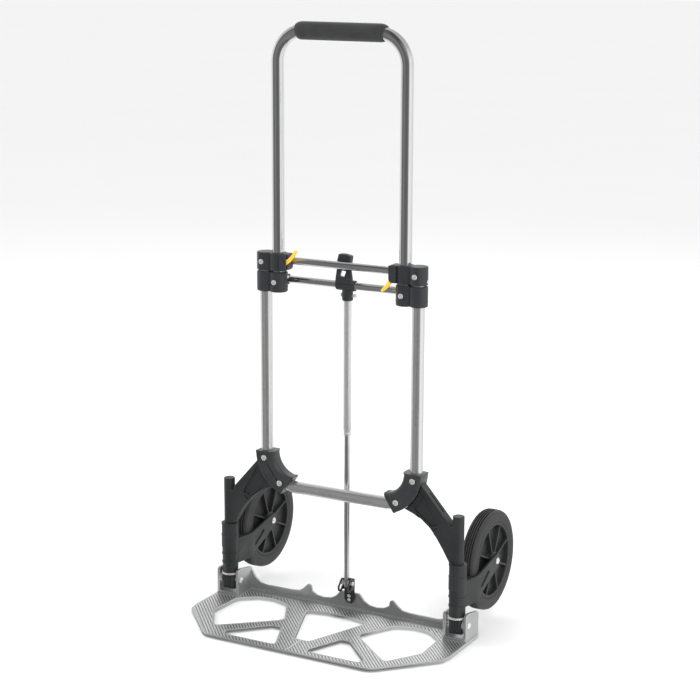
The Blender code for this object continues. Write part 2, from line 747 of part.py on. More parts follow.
def plate_windows():
    """The five openings, named from the middle outwards."""
    depth, side = TOE_DEPTH, TOE_HALF
    middle = [(-0.055, -0.70), (0.055, -0.70), (0.245, -0.06), (0.10, -0.02), (-0.10, -0.02), (-0.245, -0.06)]
    sliver = [(0.115, -0.905), (0.515, -0.905), (0.535, -0.845), (0.305, -0.535), (0.235, -0.535)]
    wide = [(0.66, -0.78), (0.815, -0.46), (0.80, -0.10), (0.68, 0.03), (0.56, 0.05), (0.43, -0.005),
            (0.30, -0.33), (0.325, -0.40)]
    shapes = [([(x * side, y * depth) for x, y in middle], [7, 7, 6, 30, 30, 6])]
    for outline, radii in ((sliver, [6, 4, 4, 7, 7]), (wide, [7, 12, 16, 30, 30, 16, 5, 7])):
        for way in (1, -1):
            shapes.append(([(x * side * way, y * depth) for x, y in outline], radii))
    return shapes


def fence_outline():
    """Front view of the scalloped fence between the inner lugs."""
    end = POST_HALF - LUG_HALF + 1.0
    peak, valley, inner = end * 0.41, end * 0.258, end * 0.09
    right = [(inner, FENCE_HIGH)]
    for i in range(1, 7):
        a = math.pi * (1 - i / 6)
        x = valley + (peak - inner) / 2 * 0.86 * math.cos(a)
        right.append((x, FENCE_HIGH - 1.5 - (FENCE_HIGH - FENCE_LOW - 1.0) * math.sin(a) ** 0.8))
    right[-1] = (peak - 5.5, FENCE_HIGH - 3.6)
    right += [(peak - 3.0, FENCE_HIGH - 1.2), (peak, FENCE_HIGH - 0.3), (peak + 3.0, FENCE_HIGH - 1.6),
              (peak + 6.5, FENCE_HIGH - 5.0), (peak + 11, FENCE_HIGH - 9.5), (peak + 19, FENCE_LOW + 3.5),
              (peak + 34, FENCE_LOW + 1.5), (end - 32, FENCE_LOW + 1.0), (end - 20, FENCE_LOW + 4.0),
              (end - 10, FENCE_LOW + 12.0), (end - 3, LUG_TOP - 14), (end, LUG_TOP - 10)]
    left = [(-x, z) for x, z in right[::-1]]
    return [(-end, PLATE_T - 2), (end, PLATE_T - 2)] + right[::-1] + left[::-1]


def lug_outline():
    front, back = LUG_Y
    return filleted(
        [(front, PLATE_T - 2), (back, PLATE_T - 2), (back, LUG_TOP - 7),
         (front + 12, LUG_TOP), (front, LUG_TOP)], [0, 0, 6, 14, 9], 3)


def sector():
    """Toothed quadrant about the hinge, which drives the wheel bracket's crown."""
    root, tip = SECTOR_R - 1.3, SECTOR_R
    outline = []
    for i in range(17):
        angle = 70 + i * 130 / 16
        radius = tip if i % 2 else root
        outline += arc((0, HINGE_Z), radius, angle - 2.0, angle + 2.0, 1)
    outline += [(-4.0, HINGE_Z - 12), (6, HINGE_Z - 12)]
    return outline


def toe_plate():
    plate = prism(plate_outline(), 0, PLATE_T, edge=1.4)
    fence = prism(fence_outline(), *FENCE_Y, "Y", edge=0.6)
    rim = box((-TOE_HALF + 12, FENCE_Y[0] - 3.5, PLATE_T - 1), (TOE_HALF - 12, FENCE_Y[0] + 1, PLATE_T + 2.2))
    extras = [fence, rim]
    for way in (1, -1):
        post = POST_HALF * way
        for low in (post - LUG_HALF, post + LUG_HALF - LUG_T):
            extras.append(prism(lug_outline(), low, low + LUG_T, "X", edge=0.7))
        extras.append(box((post - LUG_HALF + 2, LUG_Y[0] - 3, PLATE_T - 1),
                          (post + LUG_HALF - 2, LUG_Y[0] + 0.6, PLATE_T + 5.5)))
        outer = (post + LUG_HALF - LUG_T - 4.2, post + LUG_HALF - LUG_T + 1)
        if way < 0:
            outer = (post - LUG_HALF + LUG_T - 1, post - LUG_HALF + LUG_T + 4.2)
        extras.append(prism(sector(), *outer, "X"))
    cutters = [
        prism(filleted(points, radii, 3), -5, PLATE_T + 5) for points, radii in plate_windows()
    ]
    plate = cut(plate, together(cutters))
    plate = join(plate, *extras)
    holes = [rod(HINGE_R + GAP, x - 40, x + 40, (0, 0, HINGE_Z), "X", 16) for x in (POST_HALF, -POST_HALF)]
    for z in fence_screw_heights():
        holes.append(rod(SCREW_R + GAP, FENCE_Y[0] - 3, FENCE_Y[1] + 3, (0, 0, z), "Y", 10))
    return cut(plate, together(holes))


# ---------------------------------------------------------------- wheels

def wheel_bracket():
    """Sleeve that turns on the post, with two cheeks that hold the axle behind it."""
    low, high = SLEEVE
    r = SLEEVE_R
    steps = [(low, r - 1.2)]
    for ring, width, grown, after in SLEEVE_RINGS:
        steps += [(ring, steps[-1][1]), (ring + 0.4, r + grown), (ring + width, r + grown),
                  (ring + width + 0.4, r + after)]
    steps.append((high, steps[-1][1]))
    inner = POST_R + GAP
    profile = [(radius, z) for z, radius in steps] + [(inner, high), (inner, low)]
    sleeve = turned(profile, (POST_HALF, 0, 0), segments=18, ring=True)
    face, axle = CHEEK_IN + CHEEK_T, (WHEEL_BACK, AXLE_Z)
    shoulder = WHEEL_BACK - WHEEL_R + 16
    side = filleted([(WEB_ROOT, WEB[0]), (shoulder, WEB[0]), (shoulder + 6, WEB[0] + 6)], [0, 2, 3], 2)
    side += arc(axle, 13.0, -55, 110, 8) + [(shoulder, WEB[1]), (WEB_ROOT, WEB[1])]
    block = prism(side, POST_HALF - face, POST_HALF + face, "X", edge=1.0)
    clear = CHEEK_IN
    tyre_room = turned([(WHEEL_R + 3.5, -clear), (WHEEL_R + 3.5, clear)],
                       (POST_HALF, WHEEL_BACK, AXLE_Z), "X", 36)
    wing = [(shoulder + 5, WEB[1] - 6), (shoulder + 6, WEB[0] + 17), (WHEEL_BACK - 24, AXLE_Z - 5)]
    sunk = filleted(wing, [2, 3, 3], 3)
    trims = []
    for way in (1, -1):
        trims.append(prism(sunk, *sorted((POST_HALF + way * (face - CHEEK_SUNK), POST_HALF + way * 40)), "X"))
        taper = [(SLEEVE_R - 1.3, WEB_ROOT - 2), (face + 5, WEB_ROOT - 2), (face + 5, shoulder - 10),
                 (face, shoulder - 10), (SLEEVE_R - 1.3, WEB_ROOT)]
        trims.append(prism([(POST_HALF + way * x, y) for x, y in taper], 0, 200))
    block = cut(
        block, tyre_room, *trims,
        rod(AXLE_R + GAP, POST_HALF - 40, POST_HALF + 40, (0, WHEEL_BACK, AXLE_Z), "X", 16),
        rod(POST_R + 2.0, 20, 200, (POST_HALF, 0, 0)),
    )
    return join(sleeve, block)


def crown_gear():
    """Thin toothed ring under the sleeve, which the toe plate's sector turns."""
    teeth, outline = 15, []
    for i in range(teeth * 2):
        a = 360 * i / teeth / 2
        radius = SLEEVE_R + 0.3 if i % 2 else SLEEVE_R - 1.0
        outline += arc((POST_HALF, 0), radius, a - 3.2, a + 3.2, 1)
    ring = prism(outline, GEAR_Z[0], GEAR_Z[1])
    return cut(ring, rod(POST_R + GAP + 0.2, GEAR_Z[0] - 3, GEAR_Z[1] + 3, (POST_HALF, 0, 0)))


def axle_bolt():
    end, head = CHEEK_IN + CHEEK_T + GAP, AXLE_R + 2.0
    profile = [
        (2.6, -end - 2.6), (head, -end - 1.8), (head, -end), (AXLE_R, -end),
        (AXLE_R, end), (head, end), (head, end + 1.8), (2.6, end + 2.6),
    ]
    return turned(profile, (POST_HALF, WHEEL_BACK, AXLE_Z), "X", 14)


def rim():
    """Moulded wheel centre: hub, thin web, spokes and the band that carries the tyre."""
    centre, half = (POST_HALF, WHEEL_BACK, AXLE_Z), TYRE_W / 2
    band, hub_half = TYRE_IN - GAP, half + 1.4
    inner = AXLE_R + GAP
    profile = [
        (inner, -hub_half), (12.5, -hub_half), (13.0, -half + 1.5), (band, -half + 1.5),
        (band, half - 1.5), (13.0, half - 1.5), (12.5, hub_half), (inner, hub_half),
    ]
    disc = turned(profile, centre, "X", 32, ring=True)
    pockets = []
    pitch, rib = 360 / RIB_COUNT, 1.6
    for i in range(RIB_COUNT):
        angle = pitch * (i + 0.5) + 20
        low_r, high_r = 15.5, band - 5.5
        low_a = pitch / 2 - math.degrees(rib / low_r)
        high_a = pitch / 2 - math.degrees(rib / high_r)
        shape = (arc((WHEEL_BACK, AXLE_Z), low_r, angle + low_a, angle - low_a, 1)
                 + arc((WHEEL_BACK, AXLE_Z), high_r, angle - high_a, angle + high_a, 3))
        for low, high in ((-30, -2.0), (2.0, 30)):
            pockets.append(prism(shape, POST_HALF + low, POST_HALF + high, "X"))
    return cut(disc, together(pockets))


def tyre():
    """Solid tyre with four V grooves round its tread."""
    half, top = TYRE_W / 2, WHEEL_R
    side = [(TYRE_IN, half - 0.8), (top - 8, half), (top - 2.2, half - 2.0)]
    grooves = []
    for x in (7.2, 2.5):
        grooves += [(top - 0.2, x + 1.1), (top - 1.9, x), (top, x - 1.1)]
    right = side + grooves
    profile = right + [(r, -x) for r, x in right[::-1]]
    return turned(profile, (POST_HALF, WHEEL_BACK, AXLE_Z), "X", 36, ring=True)


# ---------------------------------------------------------------- assembly

def build_frame():
    finish(frame_tube(), "frame_tube", CHROME, 1.0, 0.18)
    pair(upper_block, "upper_block", BLACK, 0.0, 0.45)
    finish(upper_bar(), "upper_crossbar", CHROME, 1.0, 0.12)
    pair(corner_bracket, "corner_bracket", BLACK, 0.0, 0.5)
    pair(side_arm, "side_arm", BLACK, 0.0, 0.55)
    pair(hinge_bolt, "hinge_bolt", NICKEL, 1.0, 0.3)
    pair(lambda: block_screw(FRAME_HALF, UPPER_SCREW_Z), "upper_block_screw", NICKEL, 1.0, 0.25)
    pair(lambda: bracket_screw(0), "bracket_screw_upper", NICKEL, 1.0, 0.25)
    pair(lambda: bracket_screw(1), "bracket_screw_lower", NICKEL, 1.0, 0.25)


def build_handle():
    finish(handle_tube(), "handle_tube", CHROME, 1.0, 0.08)
    finish(grip(), "grip", DARK, 0.0, 0.85)
    pair(lower_block, "lower_block", BLACK, 0.0, 0.45)
    pair(lambda: block_screw(HANDLE_HALF, LOWER_SCREW_Z), "lower_block_screw", NICKEL, 1.0, 0.25)
    finish(lower_bar(), "lower_crossbar", CHROME, 1.0, 0.12)
    finish(centre_hub(), "centre_hub", BLACK, 0.0, 0.5)
    finish(hub_bolt(), "hub_bolt", NICKEL, 1.0, 0.25)
    finish(centre_tube(), "centre_tube", SILVER, 1.0, 0.3)


def build_moving():
    latch_axis = (0, LOWER_BAR_Y, LOWER_BAR_Z)
    finish(latch(), "latch", BLACK, 0.0, 0.5, latch_axis)
    x, z = LEVER_PIVOT
    finish(lever(LEVER_SHUT), "lever_right", YELLOW, 0.0, 0.4, (x, 0, z))
    finish(mirrored(lever(LEVER_OPEN)), "lever_left", YELLOW, 0.0, 0.4, (-x, 0, z))
    finish(centre_rod(), "centre_rod", NICKEL, 1.0, 0.2, (0, ROD_Y, PIN_Z))
    finish(rod_pin(), "rod_pin", NICKEL, 1.0, 0.3, (0, ROD_Y, PIN_Z))
    hinge = (0, 0, HINGE_Z)
    finish(toe_plate(), "toe_plate", SILVER, 1.0, 0.42, hinge)
    finish(toe_bracket(), "toe_bracket", BLACK, 0.0, 0.5, hinge)
    finish(fence_screw(0), "fence_screw_lower", NICKEL, 1.0, 0.25, hinge)
    finish(fence_screw(1), "fence_screw_upper", NICKEL, 1.0, 0.25, hinge)


def build_wheels():
    post = (POST_HALF, 0, HINGE_Z)
    axle = (POST_HALF, WHEEL_BACK, AXLE_Z)
    pair(wheel_bracket, "wheel_bracket", BLACK, 0.0, 0.55, post)
    pair(crown_gear, "crown_gear", NICKEL, 1.0, 0.4, post)
    pair(axle_bolt, "axle_bolt", NICKEL, 1.0, 0.25, post)
    pair(rim, "wheel_rim", DARK, 0.0, 0.5, axle)
    pair(tyre, "tyre", DARK, 0.0, 0.8, axle)


def main():
    for obj in list(bpy.data.objects):
        bpy.data.objects.remove(obj)
    build_frame()
    build_handle()
    build_moving()
    build_wheels()


main()
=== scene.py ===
import json
import math

import bmesh
import bpy
from mathutils import Matrix, Vector


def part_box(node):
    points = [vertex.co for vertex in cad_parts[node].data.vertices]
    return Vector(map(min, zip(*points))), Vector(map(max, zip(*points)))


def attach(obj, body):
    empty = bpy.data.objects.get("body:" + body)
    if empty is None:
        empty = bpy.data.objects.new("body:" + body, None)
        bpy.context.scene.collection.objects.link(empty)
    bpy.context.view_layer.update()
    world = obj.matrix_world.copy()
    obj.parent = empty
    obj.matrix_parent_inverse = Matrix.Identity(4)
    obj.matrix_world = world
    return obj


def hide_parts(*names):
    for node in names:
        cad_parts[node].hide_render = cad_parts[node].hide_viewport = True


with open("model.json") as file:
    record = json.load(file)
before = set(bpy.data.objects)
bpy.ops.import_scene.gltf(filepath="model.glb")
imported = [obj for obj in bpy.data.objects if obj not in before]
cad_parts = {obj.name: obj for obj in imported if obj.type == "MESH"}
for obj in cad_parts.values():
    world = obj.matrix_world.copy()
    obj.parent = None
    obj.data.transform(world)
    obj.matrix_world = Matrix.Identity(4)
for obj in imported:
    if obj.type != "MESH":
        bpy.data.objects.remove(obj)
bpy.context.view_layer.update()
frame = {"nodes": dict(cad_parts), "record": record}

MM = 0.001  # outlines below are in millimetres, meshes in metres
GAP = 0.3

# Sizes that a box can't give
HANDLE_BEND, FRAME_BEND = 52.0, 60.0
TUBE_WALL = 1.5
RIB_COUNT = 8
TREAD_GROOVES = 4
RIB_PITCH, RIB_WIDTH, RIB_HEIGHT = 5.0, 2.9, 0.45  # of the toe plate's ribbed top
RIB_ANGLE = -48.0
PLATE_TOP = 6.0  # height of the toe plate's flat top
GRIP_HALF = 82.0  # the shown foam's centre line stops here or just before, short of the CAD grip's ends
LEVER_PIVOT_IN, LEVER_PIVOT_DOWN = 17.5, 17.0  # from the handle tube's middle, and from the upper block's top
BRACKET_IN, BRACKET_OUT, BRACKET_DEEP = 9, 4, 3.5  # corner bracket past the frame tube's wall
ARM_BORDER = (6.4, 9.5)  # from inside the arm to the border's face

# Camera
CAMERA_AZIMUTH, CAMERA_ELEVATION = 28.8, 12.9
CAMERA_DISTANCE, CAMERA_LENS, CAMERA_ROLL = 3.0807, 93.48, 0.2
CAMERA_TARGET = (0.0182, 0.0, 0.4852)


def span(node):
    """Lowest corner, highest corner and middle of a CAD node, in millimetres."""
    low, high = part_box(node)
    low, high = Vector(low) / MM, Vector(high) / MM
    return low, high, (low + high) / 2


# ---------------------------------------------------------------- meshes

def new_object(name, bm):
    bmesh.ops.recalc_face_normals(bm, faces=bm.faces)
    mesh = bpy.data.meshes.new(name)
    bm.to_mesh(mesh)
    bm.free()
    obj = bpy.data.objects.new(name, mesh)
    bpy.context.scene.collection.objects.link(obj)
    return obj


def loft(rings, around=False):
    """One closed mesh through rings of points in millimetres. around joins the last to the first."""
    bm = bmesh.new()
    made = [[bm.verts.new(Vector(p) * MM) for p in ring] for ring in rings]
    count = len(made[0])
    pairs = list(zip(made, made[1:]))
    if around:
        pairs.append((made[-1], made[0]))
    for low, high in pairs:
        for i in range(count):
            j = (i + 1) % count
            bm.faces.new((low[i], low[j], high[j], high[i]))
    if not around:
        bm.faces.new(list(reversed(made[0])))
        bm.faces.new(made[-1])
    return new_object("piece", bm)


def placed(axis, u, v, w):
    """A point from its two in-plane coordinates and its distance along the axis."""
    return {"X": (w, u, v), "Y": (u, w, v), "Z": (u, v, w)}[axis]


def turned(profile, centre, axis="Z", segments=64, ring=False):
    """A solid of revolution from (radius, height) points, or with ring, a closed loop of them."""
    rings = []
    for radius, height in profile:
        points = []
        for i in range(segments):
            a = 2 * math.pi * i / segments
            p = placed(axis, radius * math.cos(a), radius * math.sin(a), height)
            points.append([p[k] + centre[k] for k in range(3)])
        rings.append(points)
    return loft(rings, around=ring)


def prism(outline, low, high, axis="Z"):
    return loft([[placed(axis, u, v, w) for u, v in outline] for w in (low, high)])


def arc(centre, radius, start, end, steps):
    points = []
    for i in range(steps + 1):
        a = math.radians(start + (end - start) * i / steps)
        points.append((centre[0] + radius * math.cos(a), centre[1] + radius * math.sin(a)))
    return points


def filleted(points, radii, steps=6):
    """The polygon with each corner rounded by its own radius."""
    outline = []
    for i, corner in enumerate(points):
        here = Vector(corner)
        to_before = Vector(points[i - 1]) - here
        to_after = Vector(points[(i + 1) % len(points)]) - here
        limit = 0.49 * min(to_before.length, to_after.length)
        u, v = to_before.normalized(), to_after.normalized()
        half = u.angle(v) / 2
        if radii[i] <= 0 or half > 1.55:
            outline.append(tuple(here))
            continue
        back = min(radii[i] / math.tan(half), limit)
        centre = here + (u + v).normalized() * (back * math.tan(half) / math.sin(half))
        start, end = here + u * back - centre, here + v * back - centre
        turn = start.angle_signed(end)
        for k in range(steps + 1):
            a = -turn * k / steps
            outline.append((
                centre.x + start.x * math.cos(a) - start.y * math.sin(a),
                centre.y + start.x * math.sin(a) + start.y * math.cos(a),
            ))
    return outline


def inset(outline, distance):
    """The outline moved inwards by the distance, or outwards where it is negative."""
    area = sum(a[0] * b[1] - b[0] * a[1] for a, b in zip(outline, outline[1:] + outline[:1]))
    side = 1 if area > 0 else -1
    moved = []
    for i, here in enumerate(outline):
        before, after = outline[i - 1], outline[(i + 1) % len(outline)]
        total = Vector((0.0, 0.0))
        for a, b in ((before, here), (here, after)):
            d = Vector((b[0] - a[0], b[1] - a[1])).normalized()
            total += Vector((-d.y, d.x)) * side
        scale = distance * 2 / max(total.length_squared, 0.8)
        moved.append((here[0] + total.x * scale, here[1] + total.y * scale))
    return moved


def sweep(path, radii, inner=0.0, segments=48):
    """A round bar or, with inner, a tube along a path of (x, z) points in the plane of the frame."""
    def section(sizes):
        rings = []
        for i, (x, z) in enumerate(path):
            before, after = path[max(i - 1, 0)], path[min(i + 1, len(path) - 1)]
            along = Vector((after[0] - before[0], after[1] - before[1])).normalized()
            ring = []
            for k in range(segments):
                a = 2 * math.pi * k / segments
                across = sizes[i] * math.cos(a)
                ring.append((x + along.y * across, sizes[i] * math.sin(a), z - along.x * across))
            rings.append(ring)
        return rings
    outer = section(radii)
    if not inner:
        return loft(outer)
    return loft(outer + section([inner] * len(path))[::-1], around=True)


def u_path(half, open_z, bar_z, bend, steps=28):
    """Two legs and a crossing bar as (x, z) points, with a round bend at each corner."""
    way = 1 if open_z > bar_z else -1
    corner = []
    for i in range(steps + 1):
        a = math.pi / 2 * i / steps
        corner.append((half - bend + bend * math.cos(a), bar_z + way * bend * (1 - math.sin(a))))
    legs = [(half, open_z + (corner[0][1] - open_z) * i / 6) for i in range(6)]
    right = legs + corner
    return [(-x, z) for x, z in right] + right[::-1]


def boolean(obj, others, operation):
    for other in others:
        modifier = obj.modifiers.new("boolean", "BOOLEAN")
        modifier.operation = operation
        modifier.object = other
        graph = bpy.context.evaluated_depsgraph_get()
        mesh = bpy.data.meshes.new_from_object(obj.evaluated_get(graph))
        obj.modifiers.clear()
        obj.data = mesh
        bpy.data.objects.remove(other)
    return obj


def together(objects):
    """Separate pieces held as one mesh."""
    bm = bmesh.new()
    for obj in objects:
        bm.from_mesh(obj.data)
        bpy.data.objects.remove(obj)
    return new_object("group", bm)


def twin(obj):
    """A second object with its own copy of the mesh."""
    bm = bmesh.new()
    bm.from_mesh(obj.data)
    return new_object("twin", bm)


def mirrored(obj):
    obj.data.transform(Matrix.Scale(-1, 4, (1, 0, 0)))
    obj.data.flip_normals()
    return obj


def copied(node):
    """A cleaned copy of a CAD node's mesh: joined points and whole flat faces."""
    bm = bmesh.new()
    bm.from_mesh(frame["nodes"][node].data)
    bmesh.ops.remove_doubles(bm, verts=bm.verts, dist=2e-5)
    bmesh.ops.dissolve_limit(bm, angle_limit=math.radians(1.0), verts=bm.verts, edges=bm.edges)
    return new_object("piece", bm)


def soften(obj, width, segments=2, angle=28.0):
    """Rounds the sharp edges and shades the rest smooth."""
    obj.data.shade_smooth()
    obj.data.set_sharp_from_angle(angle=math.radians(angle))
    if width:
        bevel = obj.modifiers.new("rounded_edges", "BEVEL")
        bevel.width = width * MM
        bevel.segments = segments
        bevel.limit_method = "ANGLE"
        bevel.angle_limit = math.radians(angle)
        bevel.harden_normals = True
        bevel.miter_outer = "MITER_ARC"
    return obj


def body_of(node):
    for body, members in frame["record"]["behaviour"]["bodies"].items():
        if node in members:
            return body
    raise ValueError(node)


def stand_for(obj, node, material, suffix="finish"):
    """The piece is shown in place of the CAD node and moves with it."""
    obj.name = obj.data.name = f"{node}_{suffix}"
    obj.data.materials.clear()
    obj.data.materials.append(material)
    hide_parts(node)
    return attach(obj, body_of(node))


def add_on(obj, name, body, material):
    """A small extra piece that stands for no CAD node."""
    obj.name = obj.data.name = name
    obj.data.materials.clear()
    obj.data.materials.append(material)
    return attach(obj, body)


# ---------------------------------------------------------------- materials

def new_material(name, colour, metallic, roughness):
    made = bpy.data.materials.new(name)
    made.use_nodes = True
    tree = made.node_tree
    shader = tree.nodes["Principled BSDF"]
    shader.inputs["Base Color"].default_value = (*colour, 1.0)
    shader.inputs["Metallic"].default_value = metallic
    shader.inputs["Roughness"].default_value = roughness
    return made, tree, shader


def noise(tree, scale, detail=3.0, stretch=(1, 1, 1), rough=0.5):
    """Noise in the piece's own space. stretch above 1 packs the pattern closer along that axis."""
    place = tree.nodes.new("ShaderNodeTexCoord")
    mapping = tree.nodes.new("ShaderNodeMapping")
    mapping.inputs["Scale"].default_value = stretch
    pattern = tree.nodes.new("ShaderNodeTexNoise")
    pattern.inputs["Scale"].default_value = scale
    pattern.inputs["Detail"].default_value = detail
    pattern.inputs["Roughness"].default_value = rough
    tree.links.new(place.outputs["Object"], mapping.inputs["Vector"])
    tree.links.new(mapping.outputs["Vector"], pattern.inputs["Vector"])
    return pattern.outputs["Fac"]


def remap(tree, value, low, high, to_low, to_high):
    node = tree.nodes.new("ShaderNodeMapRange")
    for index, number in enumerate((low, high, to_low, to_high), start=1):
        node.inputs[index].default_value = number
    tree.links.new(value, node.inputs["Value"])
    return node.outputs["Result"]


def blend_colours(tree, factor, first, second):
    """Mixes two colours, each a plain colour or another node's output."""
    mix = tree.nodes.new("ShaderNodeMix")
    mix.data_type = "RGBA"
    for socket, colour in ((mix.inputs[6], first), (mix.inputs[7], second)):
        if isinstance(colour, tuple):
            socket.default_value = (*colour, 1.0)
        else:
            tree.links.new(colour, socket)
    tree.links.new(factor, mix.inputs["Factor"])
    return mix.outputs[2]


def bump(tree, shader, height, strength, distance):
    node = tree.nodes.new("ShaderNodeBump")
    node.inputs["Strength"].default_value = strength
    node.inputs["Distance"].default_value = distance
    tree.links.new(height, node.inputs["Height"])
    before = shader.inputs["Normal"]
    if before.is_linked:
        tree.links.new(before.links[0].from_socket, node.inputs["Normal"])
    tree.links.new(node.outputs["Normal"], before)


def edges(tree, radius_mm, strength):
    """1 near the piece's edges and 0 on open faces, times strength."""
    rounded = tree.nodes.new("ShaderNodeBevel")
    rounded.samples = 4
    rounded.inputs["Radius"].default_value = radius_mm * MM
    plain = tree.nodes.new("ShaderNodeNewGeometry")
    along = tree.nodes.new("ShaderNodeVectorMath")
    along.operation = "DOT_PRODUCT"
    tree.links.new(rounded.outputs["Normal"], along.inputs[0])
    tree.links.new(plain.outputs["Normal"], along.inputs[1])
    return remap(tree, along.outputs["Value"], 0.995, 0.80, 0.0, strength)


def plated(name, colour, roughness, along, wobble=0.05, marks=0.25, metallic=1.0):
    """Bright plate with drawing marks along one axis, soft ripples and a few dull spots."""
    made, tree, shader = new_material(name, colour, metallic, sum(roughness) / 2)
    stretch = {"X": (0.03, 1, 1), "Y": (1, 0.03, 1), "Z": (1, 1, 0.03)}[along]
    streaks = noise(tree, 900.0, 4.0, stretch)
    cloud = noise(tree, 45.0, 2.0)
    tree.links.new(remap(tree, streaks, 0.35, 0.7, *roughness), shader.inputs["Roughness"])
    dull = tuple(c * (1 - marks) for c in colour)
    spots = remap(tree, noise(tree, 420.0, 5.0, stretch, 0.65), 0.56, 0.72, 0.0, 1.0)
    tint = blend_colours(tree, spots, colour, dull)
    tree.links.new(tint, shader.inputs["Base Color"])
    bump(tree, shader, streaks, 0.12, 0.00002)
    bump(tree, shader, cloud, wobble, 0.0006)
    return made


def moulded(name, colour, roughness, grain=0.12, variation=0.35, scuffs=0.10):
    """Moulded plastic: fine grain, slow colour drift, a few pale rubs, and a paler colour along the edges
    that is partly edge wear and partly a painted highlight.
    """
    made, tree, shader = new_material(name, colour, 0.0, sum(roughness) / 2)
    drift = noise(tree, 18.0, 3.0)
    fine = noise(tree, 2600.0, 2.0)
    rubs = remap(tree, noise(tree, 150.0, 8.0, (1, 1, 2.5), 0.7), 0.60, 0.78, 0.0, scuffs)
    light = tuple(c * (1 + variation) for c in colour)
    base = blend_colours(tree, remap(tree, drift, 0.3, 0.7, 0.0, 1.0), colour, light)
    rubbed = tuple(min(1.0, c * 3.0 + 0.02) for c in colour)
    worn = blend_colours(tree, rubs, base, rubbed)
    # Paler along the edges: partly edge wear, partly a painted highlight.
    tree.links.new(
        blend_colours(tree, edges(tree, 0.9, 0.55), worn, rubbed), shader.inputs["Base Color"])
    tree.links.new(remap(tree, drift, 0.3, 0.7, *roughness), shader.inputs["Roughness"])
    bump(tree, shader, fine, grain, 0.00012)
    return made


def foam(name, colour):
    """Closed-cell foam: small pits over a soft, uneven skin."""
    made, tree, shader = new_material(name, colour, 0.0, 0.85)
    place = tree.nodes.new("ShaderNodeTexCoord")
    cells = tree.nodes.new("ShaderNodeTexVoronoi")
    cells.inputs["Scale"].default_value = 950.0
    tree.links.new(place.outputs["Object"], cells.inputs["Vector"])
    drift = noise(tree, 60.0, 4.0)
    light = tuple(c * 1.5 for c in colour)
    tree.links.new(
        blend_colours(tree, remap(tree, drift, 0.3, 0.7, 0.0, 1.0), colour, light),
        shader.inputs["Base Color"])
    tree.links.new(remap(tree, drift, 0.3, 0.7, 0.72, 0.92), shader.inputs["Roughness"])
    shader.inputs["Sheen Weight"].default_value = 0.15
    bump(tree, shader, cells.outputs["Distance"], 0.35, 0.0003)
    bump(tree, shader, drift, 0.3, 0.0008)
    return made


def cast_aluminium(name, colour):
    """Satin silver plate: fine sparkle, slow drift, brighter rubbed marks, and a much lighter colour along
    the edges that is partly edge wear and partly a painted highlight.
    """
    made, tree, shader = new_material(name, colour, 0.85, 0.4)
    drift = noise(tree, 12.0, 4.0)
    speck = noise(tree, 3000.0, 2.0)
    rubs = remap(tree, noise(tree, 220.0, 7.0, (1, 0.25, 1), 0.7), 0.62, 0.78, 0.0, 0.5)
    light = tuple(c * 1.22 for c in colour)
    bright = tuple(min(1.0, c * 1.7) for c in colour)
    base = blend_colours(tree, remap(tree, drift, 0.3, 0.7, 0.0, 1.0), colour, light)
    rubbed = blend_colours(tree, rubs, base, bright)
    # Much lighter along the edges: partly edge wear, partly a painted highlight.
    edge_wear_and_painted_highlight = tuple(min(1.0, c * 2.3) for c in colour)
    tree.links.new(
        blend_colours(tree, edges(tree, 1.8, 0.9), rubbed, edge_wear_and_painted_highlight), shader.inputs["Base Color"])
    tree.links.new(remap(tree, speck, 0.3, 0.7, 0.30, 0.46), shader.inputs["Roughness"])
    bump(tree, shader, speck, 0.12, 0.00008)
    bump(tree, shader, drift, 0.05, 0.002)
    return made


def rubber(name, colour):
    """Solid tyre rubber: dusty drift, fine grain and a painted highlight along the edges."""
    made, tree, shader = new_material(name, colour, 0.0, 0.7)
    dust = remap(tree, noise(tree, 35.0, 6.0, (1, 1, 1), 0.65), 0.45, 0.75, 0.0, 0.5)
    dusty = tuple(c * 1.9 + 0.008 for c in colour)
    ridge_painted_highlight = tuple(c * 3.2 + 0.012 for c in colour)
    base = blend_colours(tree, dust, colour, dusty)
    # Lighter along the edges of the tread and walls: a painted highlight.
    tree.links.new(
        blend_colours(tree, edges(tree, 0.8, 0.7), base, ridge_painted_highlight), shader.inputs["Base Color"])
    tree.links.new(remap(tree, dust, 0.0, 0.5, 0.55, 0.8), shader.inputs["Roughness"])
    bump(tree, shader, noise(tree, 1500.0, 3.0), 0.2, 0.00015)
    return made


